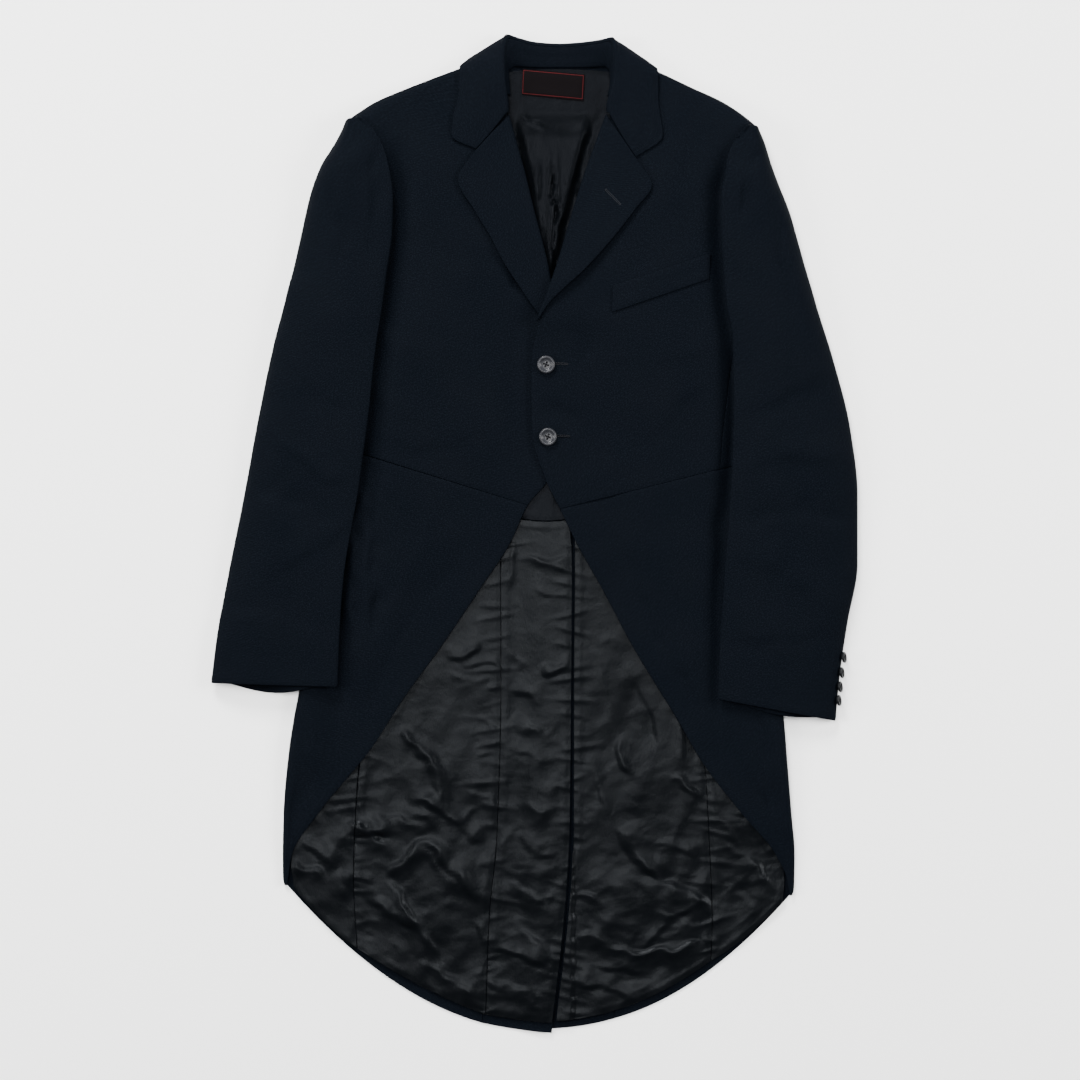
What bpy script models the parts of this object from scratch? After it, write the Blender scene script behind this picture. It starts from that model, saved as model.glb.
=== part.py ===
"""A morning coat laid flat on its back, face up, buttoned, with the sleeves at its sides.

Sizes are in millimetres and become metres when a mesh is made. The wearer's left is +X, the collar is at
+Y, and the coat rests on z = 0. Every piece of cloth is one sheet: rows of points worked out from a short
table of sections, then given the cloth's thickness on its wrong side.
"""
import math
from collections import namedtuple

import bmesh
import bpy
import numpy as np
from mathutils import Matrix, Vector

MM = 0.001

# Cloth walls
WOOL = 1.6
SATIN = 1.0
COLLAR_CLOTH = 1.8
SEAM = 0.3
REST = 0.35
LINING_REST = 0.85

# How the layers lie on each other
LAP_LIFT = 2.6
SHOULDER_TURN = 3
FACING_WIDTH = 34
ROLL_RADIUS = 3.0
FALL_RADIUS = 3.6
CENTRE_BACK_X = 12
VENT_RISE_X = -22
VENT_RISE = 28
VENT_EDGE_X = 41.5
NECK_LIFT_Y = 456
NECK_LIFT_RUN = 34
COLLAR_CENTRE_X = 26.5

# Buttons
FRONT_BUTTON_RADIUS = 9.7
FRONT_BUTTON_THICK = 4.2
CUFF_BUTTON_RADIUS = 6.0
CUFF_BUTTON_THICK = 3.0

RIGHT = -1
LEFT = 1

# The body at each height: where its side folds, where its front edge runs, and how high the upper layer
# lies at the front edge, halfway across and at the side fold
BodyRow = namedtuple("BodyRow", "y fold_x front_x front_z middle_z fold_z")
BODY = {
    RIGHT: (
        BodyRow(-386, -270.5, -266, 6, 6, 6),
        BodyRow(-366, -273, -266, 6, 6, 6),
        BodyRow(-347, -273, -263, 7, 7.5, 8),
        BodyRow(-301, -272, -233.5, 8, 9, 11),
        BodyRow(-233, -266, -178, 9, 10.5, 13),
        BodyRow(-179, -257, -143, 9, 11, 14),
        BodyRow(-118, -243, -99, 9, 11.5, 15),
        BodyRow(-60, -228, -60, 9, 12, 16),
        BodyRow(-10, -217, -27, 9, 12.5, 17),
        BodyRow(31, -214, -8, 9, 13, 17.5),
        BodyRow(60, -214, 15, 9, 13, 18),
        BodyRow(110, -218, 28, 9, 14, 19),
        BodyRow(160, -224, 29, 9, 15.5, 20.5),
        BodyRow(215, -231, 25, 9.5, 17, 22),
        BodyRow(262, -238, 16, 11, 18, 23),
        BodyRow(310, -236, 7, 13, 19, 24),
        BodyRow(365, -226, -9, 14, 20, 26),
        BodyRow(408, -214, -19, 15, 21, 27),
        BodyRow(446, -206, -29.5, 15, 20, 27),
        BodyRow(480, -206, -34, 15, 18, 25),
        BodyRow(520, -206, -40, 15, 17, 23),
    ),
    LEFT: (
        BodyRow(-396, 277.5, 273.5, 6, 6, 6),
        BodyRow(-380, 280.5, 273.5, 6, 6, 6),
        BodyRow(-347, 281, 260.5, 7, 8, 8.5),
        BodyRow(-303, 277.5, 224, 8, 9, 11),
        BodyRow(-247, 273, 181, 9, 10.5, 13),
        BodyRow(-199, 269, 153, 9, 11, 14),
        BodyRow(-122, 256, 106, 9, 11.5, 15),
        BodyRow(-60, 242, 73, 9.2, 12, 16),
        BodyRow(-10, 231, 45, 10, 12.5, 17),
        BodyRow(27, 229, 27, 11, 13, 17.5),
        BodyRow(60, 229, 11, 11.3, 13.5, 18),
        BodyRow(110, 233, -3, 11.3, 14.5, 19),
        BodyRow(156, 238, -4, 11.3, 16, 20.5),
        BodyRow(193, 244, -3, 12, 17, 21.5),
        BodyRow(215, 247, 1, 14.5, 18, 22),
        BodyRow(235, 252, 6, 17.6, 19, 22.5),
        BodyRow(262, 258, 16, 18.4, 20, 23),
        BodyRow(310, 258, 33, 18, 20, 24),
        BodyRow(365, 252, 49, 18, 21, 26),
        BodyRow(408, 248, 66, 18, 21, 27),
        BodyRow(446, 244, 79.5, 17, 20, 27),
        BodyRow(480, 244, 84, 16, 18, 25),
        BodyRow(520, 244, 92, 15, 17, 23),
    ),
}

# Seams as one x for each y
SeamPoint = namedtuple("SeamPoint", "y x")
SIDE_BACK_SEAM = {
    RIGHT: (
        SeamPoint(-530, -57),
        SeamPoint(-414, -51),
        SeamPoint(-330, -43),
        SeamPoint(-158, -38.5),
        SeamPoint(-37, -39),
        SeamPoint(17, -43),
        SeamPoint(55, -54),
        SeamPoint(112, -78),
        SeamPoint(175, -106),
        SeamPoint(255, -150),
        SeamPoint(330, -197),
        SeamPoint(350, -193),
        SeamPoint(400, -189),
        SeamPoint(440, -192),
    ),
    LEFT: (
        SeamPoint(-527, 86),
        SeamPoint(-414, 84),
        SeamPoint(-330, 82),
        SeamPoint(-250, 79),
        SeamPoint(-170, 74),
        SeamPoint(-100, 69),
        SeamPoint(-37, 66),
        SeamPoint(17, 69),
        SeamPoint(55, 80),
        SeamPoint(112, 104),
        SeamPoint(175, 132),
        SeamPoint(255, 176),
        SeamPoint(330, 223),
        SeamPoint(350, 221),
        SeamPoint(400, 222),
        SeamPoint(440, 232),
    ),
}
UNDERARM_SEAM = {
    RIGHT: (
        SeamPoint(86, -185),
        SeamPoint(110, -187),
        SeamPoint(150, -191),
        SeamPoint(195, -197),
        SeamPoint(235, -203),
        SeamPoint(262, -205),
        SeamPoint(300, -196),
        SeamPoint(345, -178),
        SeamPoint(385, -166),
        SeamPoint(412, -165),
        SeamPoint(430, -177),
    ),
    LEFT: (
        SeamPoint(70, 200),
        SeamPoint(110, 203),
        SeamPoint(150, 208),
        SeamPoint(195, 214),
        SeamPoint(235, 222),
        SeamPoint(262, 226),
        SeamPoint(300, 220),
        SeamPoint(345, 212),
        SeamPoint(385, 209),
        SeamPoint(412, 215),
        SeamPoint(425, 222),
    ),
}

# The shoulder's outline from the neck to the sleeve head
ShoulderPoint = namedtuple("ShoulderPoint", "x y")
SHOULDER = {
    RIGHT: (
        ShoulderPoint(-40, 519),
        ShoulderPoint(-78, 504.5),
        ShoulderPoint(-120, 488.5),
        ShoulderPoint(-150, 476.5),
        ShoulderPoint(-173, 466),
        ShoulderPoint(-199, 449),
    ),
    LEFT: (
        ShoulderPoint(93, 517),
        ShoulderPoint(130, 501),
        ShoulderPoint(170, 482),
        ShoulderPoint(200, 468),
        ShoulderPoint(222, 454),
        ShoulderPoint(238, 441),
    ),
}
SHOULDER_INWARD = {RIGHT: (0.40, -0.917), LEFT: (-0.44, -0.898)}

# Rows of the forepart, from the waist seam to the shoulder
ForepartRow = namedtuple("ForepartRow", "front_y side_y")
FOREPART = {
    RIGHT: (
        ForepartRow(31, 86),
        ForepartRow(60, 110),
        ForepartRow(110, 150),
        ForepartRow(160, 195),
        ForepartRow(215, 235),
        ForepartRow(262, 262),
        ForepartRow(310, 300),
        ForepartRow(365, 345),
        ForepartRow(408, 385),
        ForepartRow(446, 412),
        ForepartRow(482, 428),
    ),
    LEFT: (
        ForepartRow(27, 70),
        ForepartRow(60, 110),
        ForepartRow(110, 150),
        ForepartRow(156, 195),
        ForepartRow(193, 215),
        ForepartRow(235, 235),
        ForepartRow(262, 262),
        ForepartRow(310, 300),
        ForepartRow(365, 345),
        ForepartRow(408, 385),
        ForepartRow(446, 408),
        ForepartRow(482, 422),
    ),
}

# Rows of the pieces that turn round the side fold: their y at the front end, at the fold and at the back
# seam, and how far the lower layer's row bows down between fold and seam
FoldRow = namedtuple("FoldRow", "front_y fold_y back_y bow")
SIDE_BODY = {
    RIGHT: (
        FoldRow(86, 92, 17, 0),
        FoldRow(110, 115, 55, 0),
        FoldRow(150, 155, 112, 0),
        FoldRow(195, 198, 175, 0),
        FoldRow(235, 236, 255, 0),
        FoldRow(262, 262, 329.7, 8),
    ),
    LEFT: (
        FoldRow(70, 75, 17, 0),
        FoldRow(110, 114, 55, 0),
        FoldRow(150, 152, 112, 0),
        FoldRow(195, 196, 175, 0),
        FoldRow(235, 236, 255, 0),
        FoldRow(262, 262, 329.7, 8),
    ),
}
SKIRT = {
    RIGHT: (
        FoldRow(31, 92, 17, 0),
        FoldRow(-10, 45, -37, 0),
        FoldRow(-60, -15, -95, 0),
        FoldRow(-118, -80, -158, 0),
        FoldRow(-179, -145, -240, 2),
        FoldRow(-233, -208, -330, 6),
        FoldRow(-301, -285, -414, 12),
        FoldRow(-347, -346, -492, 20),
        FoldRow(-366, -380, -529.5, 23),
    ),
    LEFT: (
        FoldRow(27, 75, 17, 0),
        FoldRow(-10, 32, -37, 0),
        FoldRow(-60, -22, -100, 0),
        FoldRow(-122, -88, -170, 0),
        FoldRow(-199, -165, -250, 2),
        FoldRow(-247, -225, -330, 6),
        FoldRow(-303, -290, -414, 10),
        FoldRow(-347, -346, -487, 17),
        FoldRow(-380, -391, -524.5, 20.5),
    ),
}

# Rows of the back, from the hem to the shoulder, and the centre edge's place on each
BackRow = namedtuple("BackRow", "outer_y centre_x centre_y bow")
BACK = {
    RIGHT: (
        BackRow(-529.5, 18, -540, 1.5),
        BackRow(-492, 24, -498, 0),
        BackRow(-414, 33, -418, 0),
        BackRow(-330, 38, -330, 0),
        BackRow(-240, 39, -240, 0),
        BackRow(-158, 40, -158, 0),
        BackRow(-95, 41, -90, 0),
        BackRow(-37, 41, -30, 0),
        BackRow(5, 39, 2, 0),
        BackRow(17, CENTRE_BACK_X, 10, 0),
        BackRow(55, CENTRE_BACK_X, 50, 0),
        BackRow(112, CENTRE_BACK_X, 105, 0),
        BackRow(175, CENTRE_BACK_X, 170, 0),
        BackRow(255, CENTRE_BACK_X, 255, 0),
        BackRow(330, CENTRE_BACK_X, 330, 0),
        BackRow(352, CENTRE_BACK_X, 400, 0),
        BackRow(385, CENTRE_BACK_X, 456, 0),
        BackRow(404, CENTRE_BACK_X, 490, 0),
        BackRow(420, -18, 504, 0),
    ),
    LEFT: (
        BackRow(-524.5, 14, -535.5, 2.5),
        BackRow(-487, 14, -492, 0),
        BackRow(-414, 14, -414, 0),
        BackRow(-330, 13, -330, 0),
        BackRow(-250, CENTRE_BACK_X, -250, 0),
        BackRow(-170, CENTRE_BACK_X, -170, 0),
        BackRow(-100, CENTRE_BACK_X, -95, 0),
        BackRow(-37, CENTRE_BACK_X, -30, 0),
        BackRow(17, CENTRE_BACK_X, 10, 0),
        BackRow(55, CENTRE_BACK_X, 50, 0),
        BackRow(112, CENTRE_BACK_X, 105, 0),
        BackRow(175, CENTRE_BACK_X, 170, 0),
        BackRow(255, CENTRE_BACK_X, 255, 0),
        BackRow(330, CENTRE_BACK_X, 330, 0),
        BackRow(352, CENTRE_BACK_X, 400, 0),
        BackRow(385, CENTRE_BACK_X, 456, 0),
        BackRow(404, CENTRE_BACK_X, 490, 0),
        BackRow(418, 60, 504, 0),
    ),
}

# Rows of the lapel facing, from the gorge to where the roll ends on the front edge
LapelRow = namedtuple("LapelRow", "roll_x roll_y edge_x edge_y lift")
LAPEL = {
    RIGHT: (
        LapelRow(-28, 453, -64, 414, 2.0),
        LapelRow(-19, 420, -83, 382, 2.0),
        LapelRow(-10, 387, -66, 350, 2.2),
        LapelRow(-1.5, 352, -49, 322, 2.2),
        LapelRow(7, 320, -33, 292, 1.8),
        LapelRow(15, 288, -14, 263, 1.2),
        LapelRow(20, 262, 0, 243, 0.8),
        LapelRow(24, 238, 13, 228, 0.4),
        LapelRow(27, 216, 21, 213, 0),
    ),
    LEFT: (
        LapelRow(76.5, 453, 109, 405, 2.0),
        LapelRow(64.5, 420, 126, 376, 2.0),
        LapelRow(53, 388, 108, 350, 2.4),
        LapelRow(43.5, 358, 88, 324, 3.2),
        LapelRow(35, 330, 70, 303, 4.4),
        LapelRow(27, 302, 50, 282, 5.2),
        LapelRow(18, 275, 31, 265, 4.6),
        LapelRow(9, 251, 15, 249, 2.4),
        LapelRow(1, 230, 5, 234, 0.6),
    ),
}

# The collar from the wearer's right front end, round the back, to the left one: its crease's roll centre,
# which way it faces in plan and how far it is tipped back, how far the roll turns, the knee and edge that
# the fall runs down to, and the neck seam that the stand rises from
CollarRow = namedtuple(
    "CollarRow",
    "x y z heading tilt turn knee_x knee_y knee_z edge_x edge_y edge_z neck_x neck_y neck_z",
)
COLLAR = (
    CollarRow(-31.5, 453.5, 17.2, 205, 0, 100, -44.5, 435.5, 20.0, -64, 415, 18.0, -25, 454, 13),
    CollarRow(-31.5, 461, 17.8, 200, 0, 100, -60, 444, 21.0, -90, 430, 18.2, -25, 461, 12.5),
    CollarRow(-33, 474, 19.2, 194, 0, 100, -60, 462, 22.0, -89, 447, 18.2, -26, 474, 12),
    CollarRow(-35, 492, 20.5, 186, 0, 102, -60, 486, 22.5, -83, 474, 18.2, -27.5, 490, 11),
    CollarRow(-35.5, 508, 20.5, 174, 6, 108, -62, 508, 21, -82, 497, 17.6, -28, 501, 8.5),
    CollarRow(-35.2, 515, 19.6, 163, 14, 116, -67, 516, 17, -80, 505, 13, -25, 503.5, 7.6),
    CollarRow(-34.2, 525, 18, 150, 25, 125, -63, 521, 10, -76, 511, 6, -22, 505.5, 7),
    CollarRow(-28.5, 536.5, 13.5, 128, 62, 160, -42, 532, 2, -56, 519, 1, -10, 505, 6.4),
    CollarRow(-19, 533.2, 9.6, 105, 84, 176, -20, 520, 0, -30, 502, 0, -4, 504.8, 6.2),
    CollarRow(2, 528, 7.2, 94, 90, 180, 1, 512, 0, 0, 497, 0, 10, 504.6, 6),
    CollarRow(26.5, 526.5, 6.6, 90, 90, 180, 26.5, 511, 0, 26.5, 495, 0, 26.5, 504.6, 6),
    CollarRow(51, 528, 7.2, 86, 90, 180, 52, 512, 0, 53, 496, 0, 43, 504.6, 6),
    CollarRow(71, 530.8, 9.5, 77, 84, 176, 73, 519, 0, 83, 500, 0, 58, 504.8, 6.2),
    CollarRow(81.5, 533.5, 13.5, 52, 62, 160, 94, 530, 2, 108, 516, 1, 66, 505, 6.4),
    CollarRow(87, 522, 18, 30, 25, 125, 115, 518, 10, 127, 507, 6, 76, 505, 7),
    CollarRow(87.6, 513, 19.6, 18, 14, 116, 119, 515, 17, 131, 501.5, 13, 78, 503.5, 7.6),
    CollarRow(87.5, 506, 20.5, 6, 6, 108, 114, 505, 21, 133, 493, 17.6, 80, 500, 8.5),
    CollarRow(86.5, 490, 20.5, -6, 0, 102, 110, 483, 23, 133, 470, 18.6, 80.4, 488, 11),
    CollarRow(83, 473, 20.2, -14, 0, 100, 108, 460, 23.5, 136, 446, 19.8, 77.6, 473, 13),
    CollarRow(80, 461, 19.8, -20, 0, 100, 108, 443, 23, 138, 430, 20.4, 74.6, 461, 14),
    CollarRow(79.8, 453.5, 19.6, -25, 0, 100, 92, 430.5, 23, 109, 406, 20.6, 74.2, 454, 14),
)
ROLL_START = -10
STAND_ROWS = slice(2, -2)
FALL_CLEAR = 0.9
NECK_REACH = 4
FOLD_CLEAR = 1.5

# Sleeve rows from the sleeve head to the cuff: outer edge, inner edge, how high its top stands, how high
# its inner edge rolls, how much of its width wraps back under there, and where the under sleeve ends
SleeveRow = namedtuple("SleeveRow", "outer_x outer_y inner_x inner_y top roll wrap under_x under_y")
SLEEVE = {
    RIGHT: (
        SleeveRow(-204.3, 446.6, -186, 447.5, 29, 2.6, 0.2, -196, 440),
        SleeveRow(-210.3, 433.4, -177, 438.6, 31, 2.6, 0.12, -194, 430),
        SleeveRow(-219, 418, -168, 426, 32.2, 2.6, 0.09, -192.8, 421),
        SleeveRow(-231, 399, -159, 402, 34, 2.6, 0.07, -190.4, 401),
        SleeveRow(-243, 367, -153, 362, 33.5, 2.8, 0.06, -192.8, 364),
        SleeveRow(-252, 328, -154, 326, 32.5, 3, 0.06, -200, 325),
        SleeveRow(-261, 288, -159, 287, 32, 3.4, 0.07, -215, 287),
        SleeveRow(-267, 264, -162, 264, 32, 4, 0.1, -208, 264),
        SleeveRow(-272, 245, -165, 242, 32, 4.5, 0.16, -182.1, 242.5),
        SleeveRow(-281, 212, -171, 206, 31, 5, 0.16, -188.6, 207),
        SleeveRow(-299, 127, -180, 124, 29, 5, 0.16, -199, 124.5),
        SleeveRow(-315, 40, -191, 44, 27, 5, 0.16, -210.8, 43.4),
        SleeveRow(-333, -50, -206, -45, 25, 5, 0.16, -226.3, -45.8),
        SleeveRow(-344, -112, -211, -113, 24, 5, 0.16, -232.3, -112.8),
        SleeveRow(-350, -161, -213, -165, 23, 5, 0.16, -234.9, -164.4),
    ),
    LEFT: (
        SleeveRow(241, 439.3, 227, 438.6, 29, 2.6, 0.2, 236, 432),
        SleeveRow(248.4, 422.4, 219, 428.4, 31, 2.6, 0.12, 230.5, 422),
        SleeveRow(255, 401, 210, 414, 32.2, 2.6, 0.09, 225.6, 408),
        SleeveRow(263, 379, 205, 392, 34, 2.6, 0.07, 223.4, 386),
        SleeveRow(275, 349, 200, 362, 33.5, 2.8, 0.06, 222.8, 356),
        SleeveRow(284, 318, 200, 328, 32.5, 3, 0.06, 226.4, 323),
        SleeveRow(293, 286, 202, 292, 32, 3.4, 0.07, 238, 288),
        SleeveRow(299, 266, 204, 271, 32, 4, 0.1, 228, 266),
        SleeveRow(305, 245, 206, 250, 32, 4.5, 0.16, 221.8, 249.2),
        SleeveRow(323, 187, 213, 206, 31, 5, 0.16, 230.6, 203),
        SleeveRow(341, 114, 214, 135, 29, 5, 0.16, 234.3, 131.6),
        SleeveRow(349, 42, 211, 52, 27, 5, 0.16, 233.1, 50.4),
        SleeveRow(349, -32, 205, -32, 25, 5, 0.16, 228, -32),
        SleeveRow(338, -96, 200, -106, 24, 5, 0.16, 222.1, -104.4),
        SleeveRow(330, -150, 198, -148, 23, 5, 0.16, 219.1, -148.3),
        SleeveRow(325, -202, 197, -178, 22, 5, 0.16, 217.5, -181.8),
    ),
}
UNDER_SLEEVE_FROM = 2
UNDER_SLEEVE_PAST_CUFF = {RIGHT: 9, LEFT: 5}
OUTER_WRAP = 0.13
OUTER_ROLL = 5.5
SLEEVE_SQUARENESS = 2.6
SLEEVE_SEAM = 0.01
CLIMB_WIDTH = 44
CLIMB_TOP_Y = 285
CLIMB_RUN = 20
CLEAR = 1.2
CUFF_BUTTON_LIFT = 4.0
CUFF_BUTTON_RISE = 3

# The tail lining's widths: the edges of each at the waist, halfway down and at the hem
LiningRow = namedtuple("LiningRow", "left_x left_y right_x right_y bow")
TAIL_LINING = {
    "tail_lining_centre": (
        LiningRow(-38, 15, 38, 15, 6),
        LiningRow(-37, -37, 39.8, -37, 0),
        LiningRow(-36.5, -158, 39, -158, 0),
        LiningRow(-41, -330, 37, -330, 0),
        LiningRow(-49, -414, 31.5, -414, 0),
        LiningRow(-53, -520, 18.5, -529, 1),
    ),
    "tail_lining_right": (
        LiningRow(-150, 40, -38.6, 15, 0),
        LiningRow(-164, -37, -37.6, -37, 0),
        LiningRow(-180, -158, -37.1, -158, 0),
        LiningRow(-195, -330, -41.6, -330, 1),
        LiningRow(-196, -380, -49.6, -414, 3),
        LiningRow(-192, -449, -53.6, -520, 5),
    ),
    "tail_lining_far_right": (
        LiningRow(-200, 50, -150.6, 42, 0),
        LiningRow(-212, -37, -164.6, -37, 0),
        LiningRow(-240, -158, -180.6, -158, 0),
        LiningRow(-262, -330, -195.6, -330, 0),
        LiningRow(-264, -355, -196.6, -380, 1),
        LiningRow(-261, -382, -192.8, -449, 5),
    ),
    "tail_lining_left": (
        LiningRow(43, 15, 165, 40, 0),
        LiningRow(43, -37, 170, -37, 0),
        LiningRow(42, -158, 178, -158, 0),
        LiningRow(41.8, -330, 188, -330, 2),
        LiningRow(36, -414, 191.5, -414, 4),
        LiningRow(23, -527, 190, -462, 14),
    ),
    "tail_lining_far_left": (
        LiningRow(165.6, 42, 216, 50, 0),
        LiningRow(170.6, -37, 227, -37, 0),
        LiningRow(178.6, -158, 250, -158, 0),
        LiningRow(188.6, -330, 269, -320, 0),
        LiningRow(192.1, -414, 270, -370, 2),
        LiningRow(190.8, -462, 268, -397, 5),
    ),
}

# The lining's largest wrinkles: a line from one end to the other, its half-width and its height
Wrinkle = namedtuple("Wrinkle", "x1 y1 x2 y2 half_width height")
WRINKLES = (
    Wrinkle(-142, -215, -99, -284, 14, 4.5),
    Wrinkle(-132, -287, -59, -327, 13, 4),
    Wrinkle(-122, -338, -52, -395, 14, 4.5),
    Wrinkle(-160, -363, -113, -334, 12, 4),
    Wrinkle(-157, -366, -106, -471, 15, 4),
    Wrinkle(-94, -134, -59, -122, 11, 2.5),
    Wrinkle(92, -320, 127, -374, 16, 4.5),
    Wrinkle(127, -374, 192, -406, 16, 4.5),
    Wrinkle(49, -435, 92, -449, 14, 3.5),
    Wrinkle(92, -449, 181, -446, 14, 4),
    Wrinkle(149, -266, 181, -280, 12, 4),
    Wrinkle(90, -222, 99, -258, 12, 3.5),
    Wrinkle(-11, -26, 38, -26, 9, 2.2),
    Wrinkle(10, -147, 38, -147, 10, 2.2),
    Wrinkle(-24, -174, 9, -177, 12, 2.6),
    Wrinkle(-10, -290, 20, -300, 14, 2.6),
    Wrinkle(-20, -430, 25, -450, 15, 3),
    Wrinkle(-200, -320, -153, -318, 14, 5),
)

# The back lining, seen through the neck opening and at the waist, with its centre pleat
BACK_LINING = (
    LiningRow(-40, 23, 64, 23, 9),
    LiningRow(-40, 50, 66, 50, 0),
    LiningRow(-35, 150, 62, 150, 0),
    LiningRow(-38, 250, 66, 250, 0),
    LiningRow(-44, 350, 84, 350, 0),
    LiningRow(-44, 430, 92, 430, 0),
    LiningRow(-42, 456, 90, 456, 0),
    LiningRow(-34, 490, 86, 490, 0),
    LiningRow(-28, 500, 80, 500, -3),
)
PLEAT_X = 18.5
PLEAT_HALF_WIDTH = 9
PLEAT_HEIGHT = 2.6
LABEL_LIFT = 1.6

# Small pieces laid on the cloth: four corners, top left first and clockwise
Patch = namedtuple("Patch", "x1 y1 x2 y2 x3 y3 x4 y4")
BREAST_WELT = Patch(84, 268, 190, 303, 188, 275, 83, 239)
WOVEN_LABEL = Patch(-13, 503, 54, 497, 52.5, 468, -14, 475)

ButtonPlace = namedtuple("ButtonPlace", "name x y")
FRONT_BUTTONS = (ButtonPlace("front_button_upper", 12, 183), ButtonPlace("front_button_lower", 14, 105))
LEFT_CUFF_BUTTONS = (
    ButtonPlace("cuff_button_left_1", 332.6, -133.5),
    ButtonPlace("cuff_button_left_2", 330.2, -150),
    ButtonPlace("cuff_button_left_3", 328.4, -165.3),
    ButtonPlace("cuff_button_left_4", 327, -180),
)
RIGHT_CUFF_BUTTONS = (
    ButtonPlace("cuff_button_right_1", -333.5, -103),
    ButtonPlace("cuff_button_right_2", -335.5, -118.5),
    ButtonPlace("cuff_button_right_3", -337.5, -134),
    ButtonPlace("cuff_button_right_4", -339, -149.5),
)
CUFF_BUTTON_TILT = 22


def ramp(t):
    """0 to 1 with level ends."""
    t = np.clip(t, 0, 1)
    return t * t * (3 - 2 * t)


def smooth(at, places, values):
    """The curve through the values that never overshoots them."""
    places, values = np.array(places, float), np.array(values, float)
    step = np.diff(places)
    slope = np.diff(values) / step
    tangent = np.zeros(len(values))
    tangent[0], tangent[-1] = slope[0], slope[-1]
    for i in range(1, len(values) - 1):
        if slope[i - 1] * slope[i] > 0:
            before, after = 2 * step[i] + step[i - 1], step[i] + 2 * step[i - 1]
            tangent[i] = (before + after) / (before / slope[i - 1] + after / slope[i])
    at = np.clip(at, places[0], places[-1])
    i = np.clip(np.searchsorted(places, at, side="right") - 1, 0, len(step) - 1)
    t = (at - places[i]) / step[i]
    return (
        values[i] * (2 * t**3 - 3 * t**2 + 1)
        + step[i] * tangent[i] * (t**3 - 2 * t**2 + t)
        + values[i + 1] * (3 * t**2 - 2 * t**3)
        + step[i] * tangent[i + 1] * (t**3 - t**2)
    )


def column(table, name, at):
    """A column of a table whose rows are in order of y, read at any y."""
    return smooth(at, [row.y for row in table], [getattr(row, name) for row in table])


def seam_x(table, y):
    """Where a seam runs at any y, straight between the table's points."""
    return np.interp(y, [point.y for point in table], [point.x for point in table])


def between(rows, spacing, end_of):
    """The table's rows with smooth ones added between them, about a spacing apart."""
    ends = [end_of(row) for row in rows]
    count = [max(1, round(math.dist(a, b) / spacing)) for a, b in zip(ends, ends[1:])]
    place = np.concatenate([[0], np.cumsum([math.dist(a, b) for a, b in zip(ends, ends[1:])])])
    at = [place[0]]
    for i, steps in enumerate(count):
        at += list(np.linspace(place[i], place[i + 1], steps + 1)[1:])
    columns = [smooth(np.array(at), place, [row[k] for row in rows]) for k in range(len(rows[0]))]
    return [type(rows[0])(*values) for values in zip(*columns)]


def floor_lift(y):
    """How far the collar's fall lifts the lower layer near the neck."""
    return LAP_LIFT * np.clip((y - NECK_LIFT_Y) / NECK_LIFT_RUN, 0, 1)


def vent_lift(x, y):
    """How far the vent's upper side is lifted by the side that it laps over."""
    return LAP_LIFT * ramp((x - VENT_RISE_X) / VENT_RISE) * np.clip((50 - y) / 40, 0, 1)


def upper_height(side, x, y):
    """The outer face of the upper layer: foreparts and skirt fronts."""
    table = BODY[side]
    front_x = column(table, "front_x", y)
    fold_x = column(table, "fold_x", y)
    fold_z = column(table, "fold_z", y)
    flat = FACING_WIDTH * ramp((y + 340) / 60)
    run = np.maximum(np.abs(fold_x - front_x) - fold_z / 2 - flat, 1)
    across = np.clip((np.abs(x - front_x) * np.sign((x - front_x) * side) - flat) / run, 0, 1)
    front = 1 - ramp(across / 0.55)
    fold = ramp((across - 0.45) / 0.55)
    return (
        front * column(table, "front_z", y)
        + (1 - front - fold) * column(table, "middle_z", y)
        + fold * fold_z
    )


def wrinkle_height(x, y):
    """The lining's wrinkles at a point."""
    height = np.zeros(np.broadcast(x, y).shape)
    for w in WRINKLES:
        along = np.array([w.x2 - w.x1, w.y2 - w.y1], float)
        length = np.hypot(*along)
        t = np.clip(((x - w.x1) * along[0] + (y - w.y1) * along[1]) / length**2, 0, 1)
        off = np.hypot(x - w.x1 - t * along[0], y - w.y1 - t * along[1])
        height = np.maximum(height, w.height * ramp(1 - off / w.half_width))
    return height


def new_piece(name):
    """An empty mesh object in the scene."""
    mesh = bpy.data.meshes.new(name)
    obj = bpy.data.objects.new(name, mesh)
    bpy.context.collection.objects.link(obj)
    return obj


def material(name, colour, roughness):
    """One finish, shared by every piece that has it."""
    made = bpy.data.materials.get(name)
    if made is None:
        made = bpy.data.materials.new(name)
        made.use_nodes = True
        shader = made.node_tree.nodes["Principled BSDF"]
        shader.inputs["Base Color"].default_value = (*colour, 1)
        shader.inputs["Roughness"].default_value = roughness
        shader.inputs["Metallic"].default_value = 0
    return made


def wool():
    return material("wool_barathea", (0.011, 0.014, 0.021), 0.85)


def satin():
    return material("lining_satin", (0.055, 0.057, 0.065), 0.4)


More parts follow.
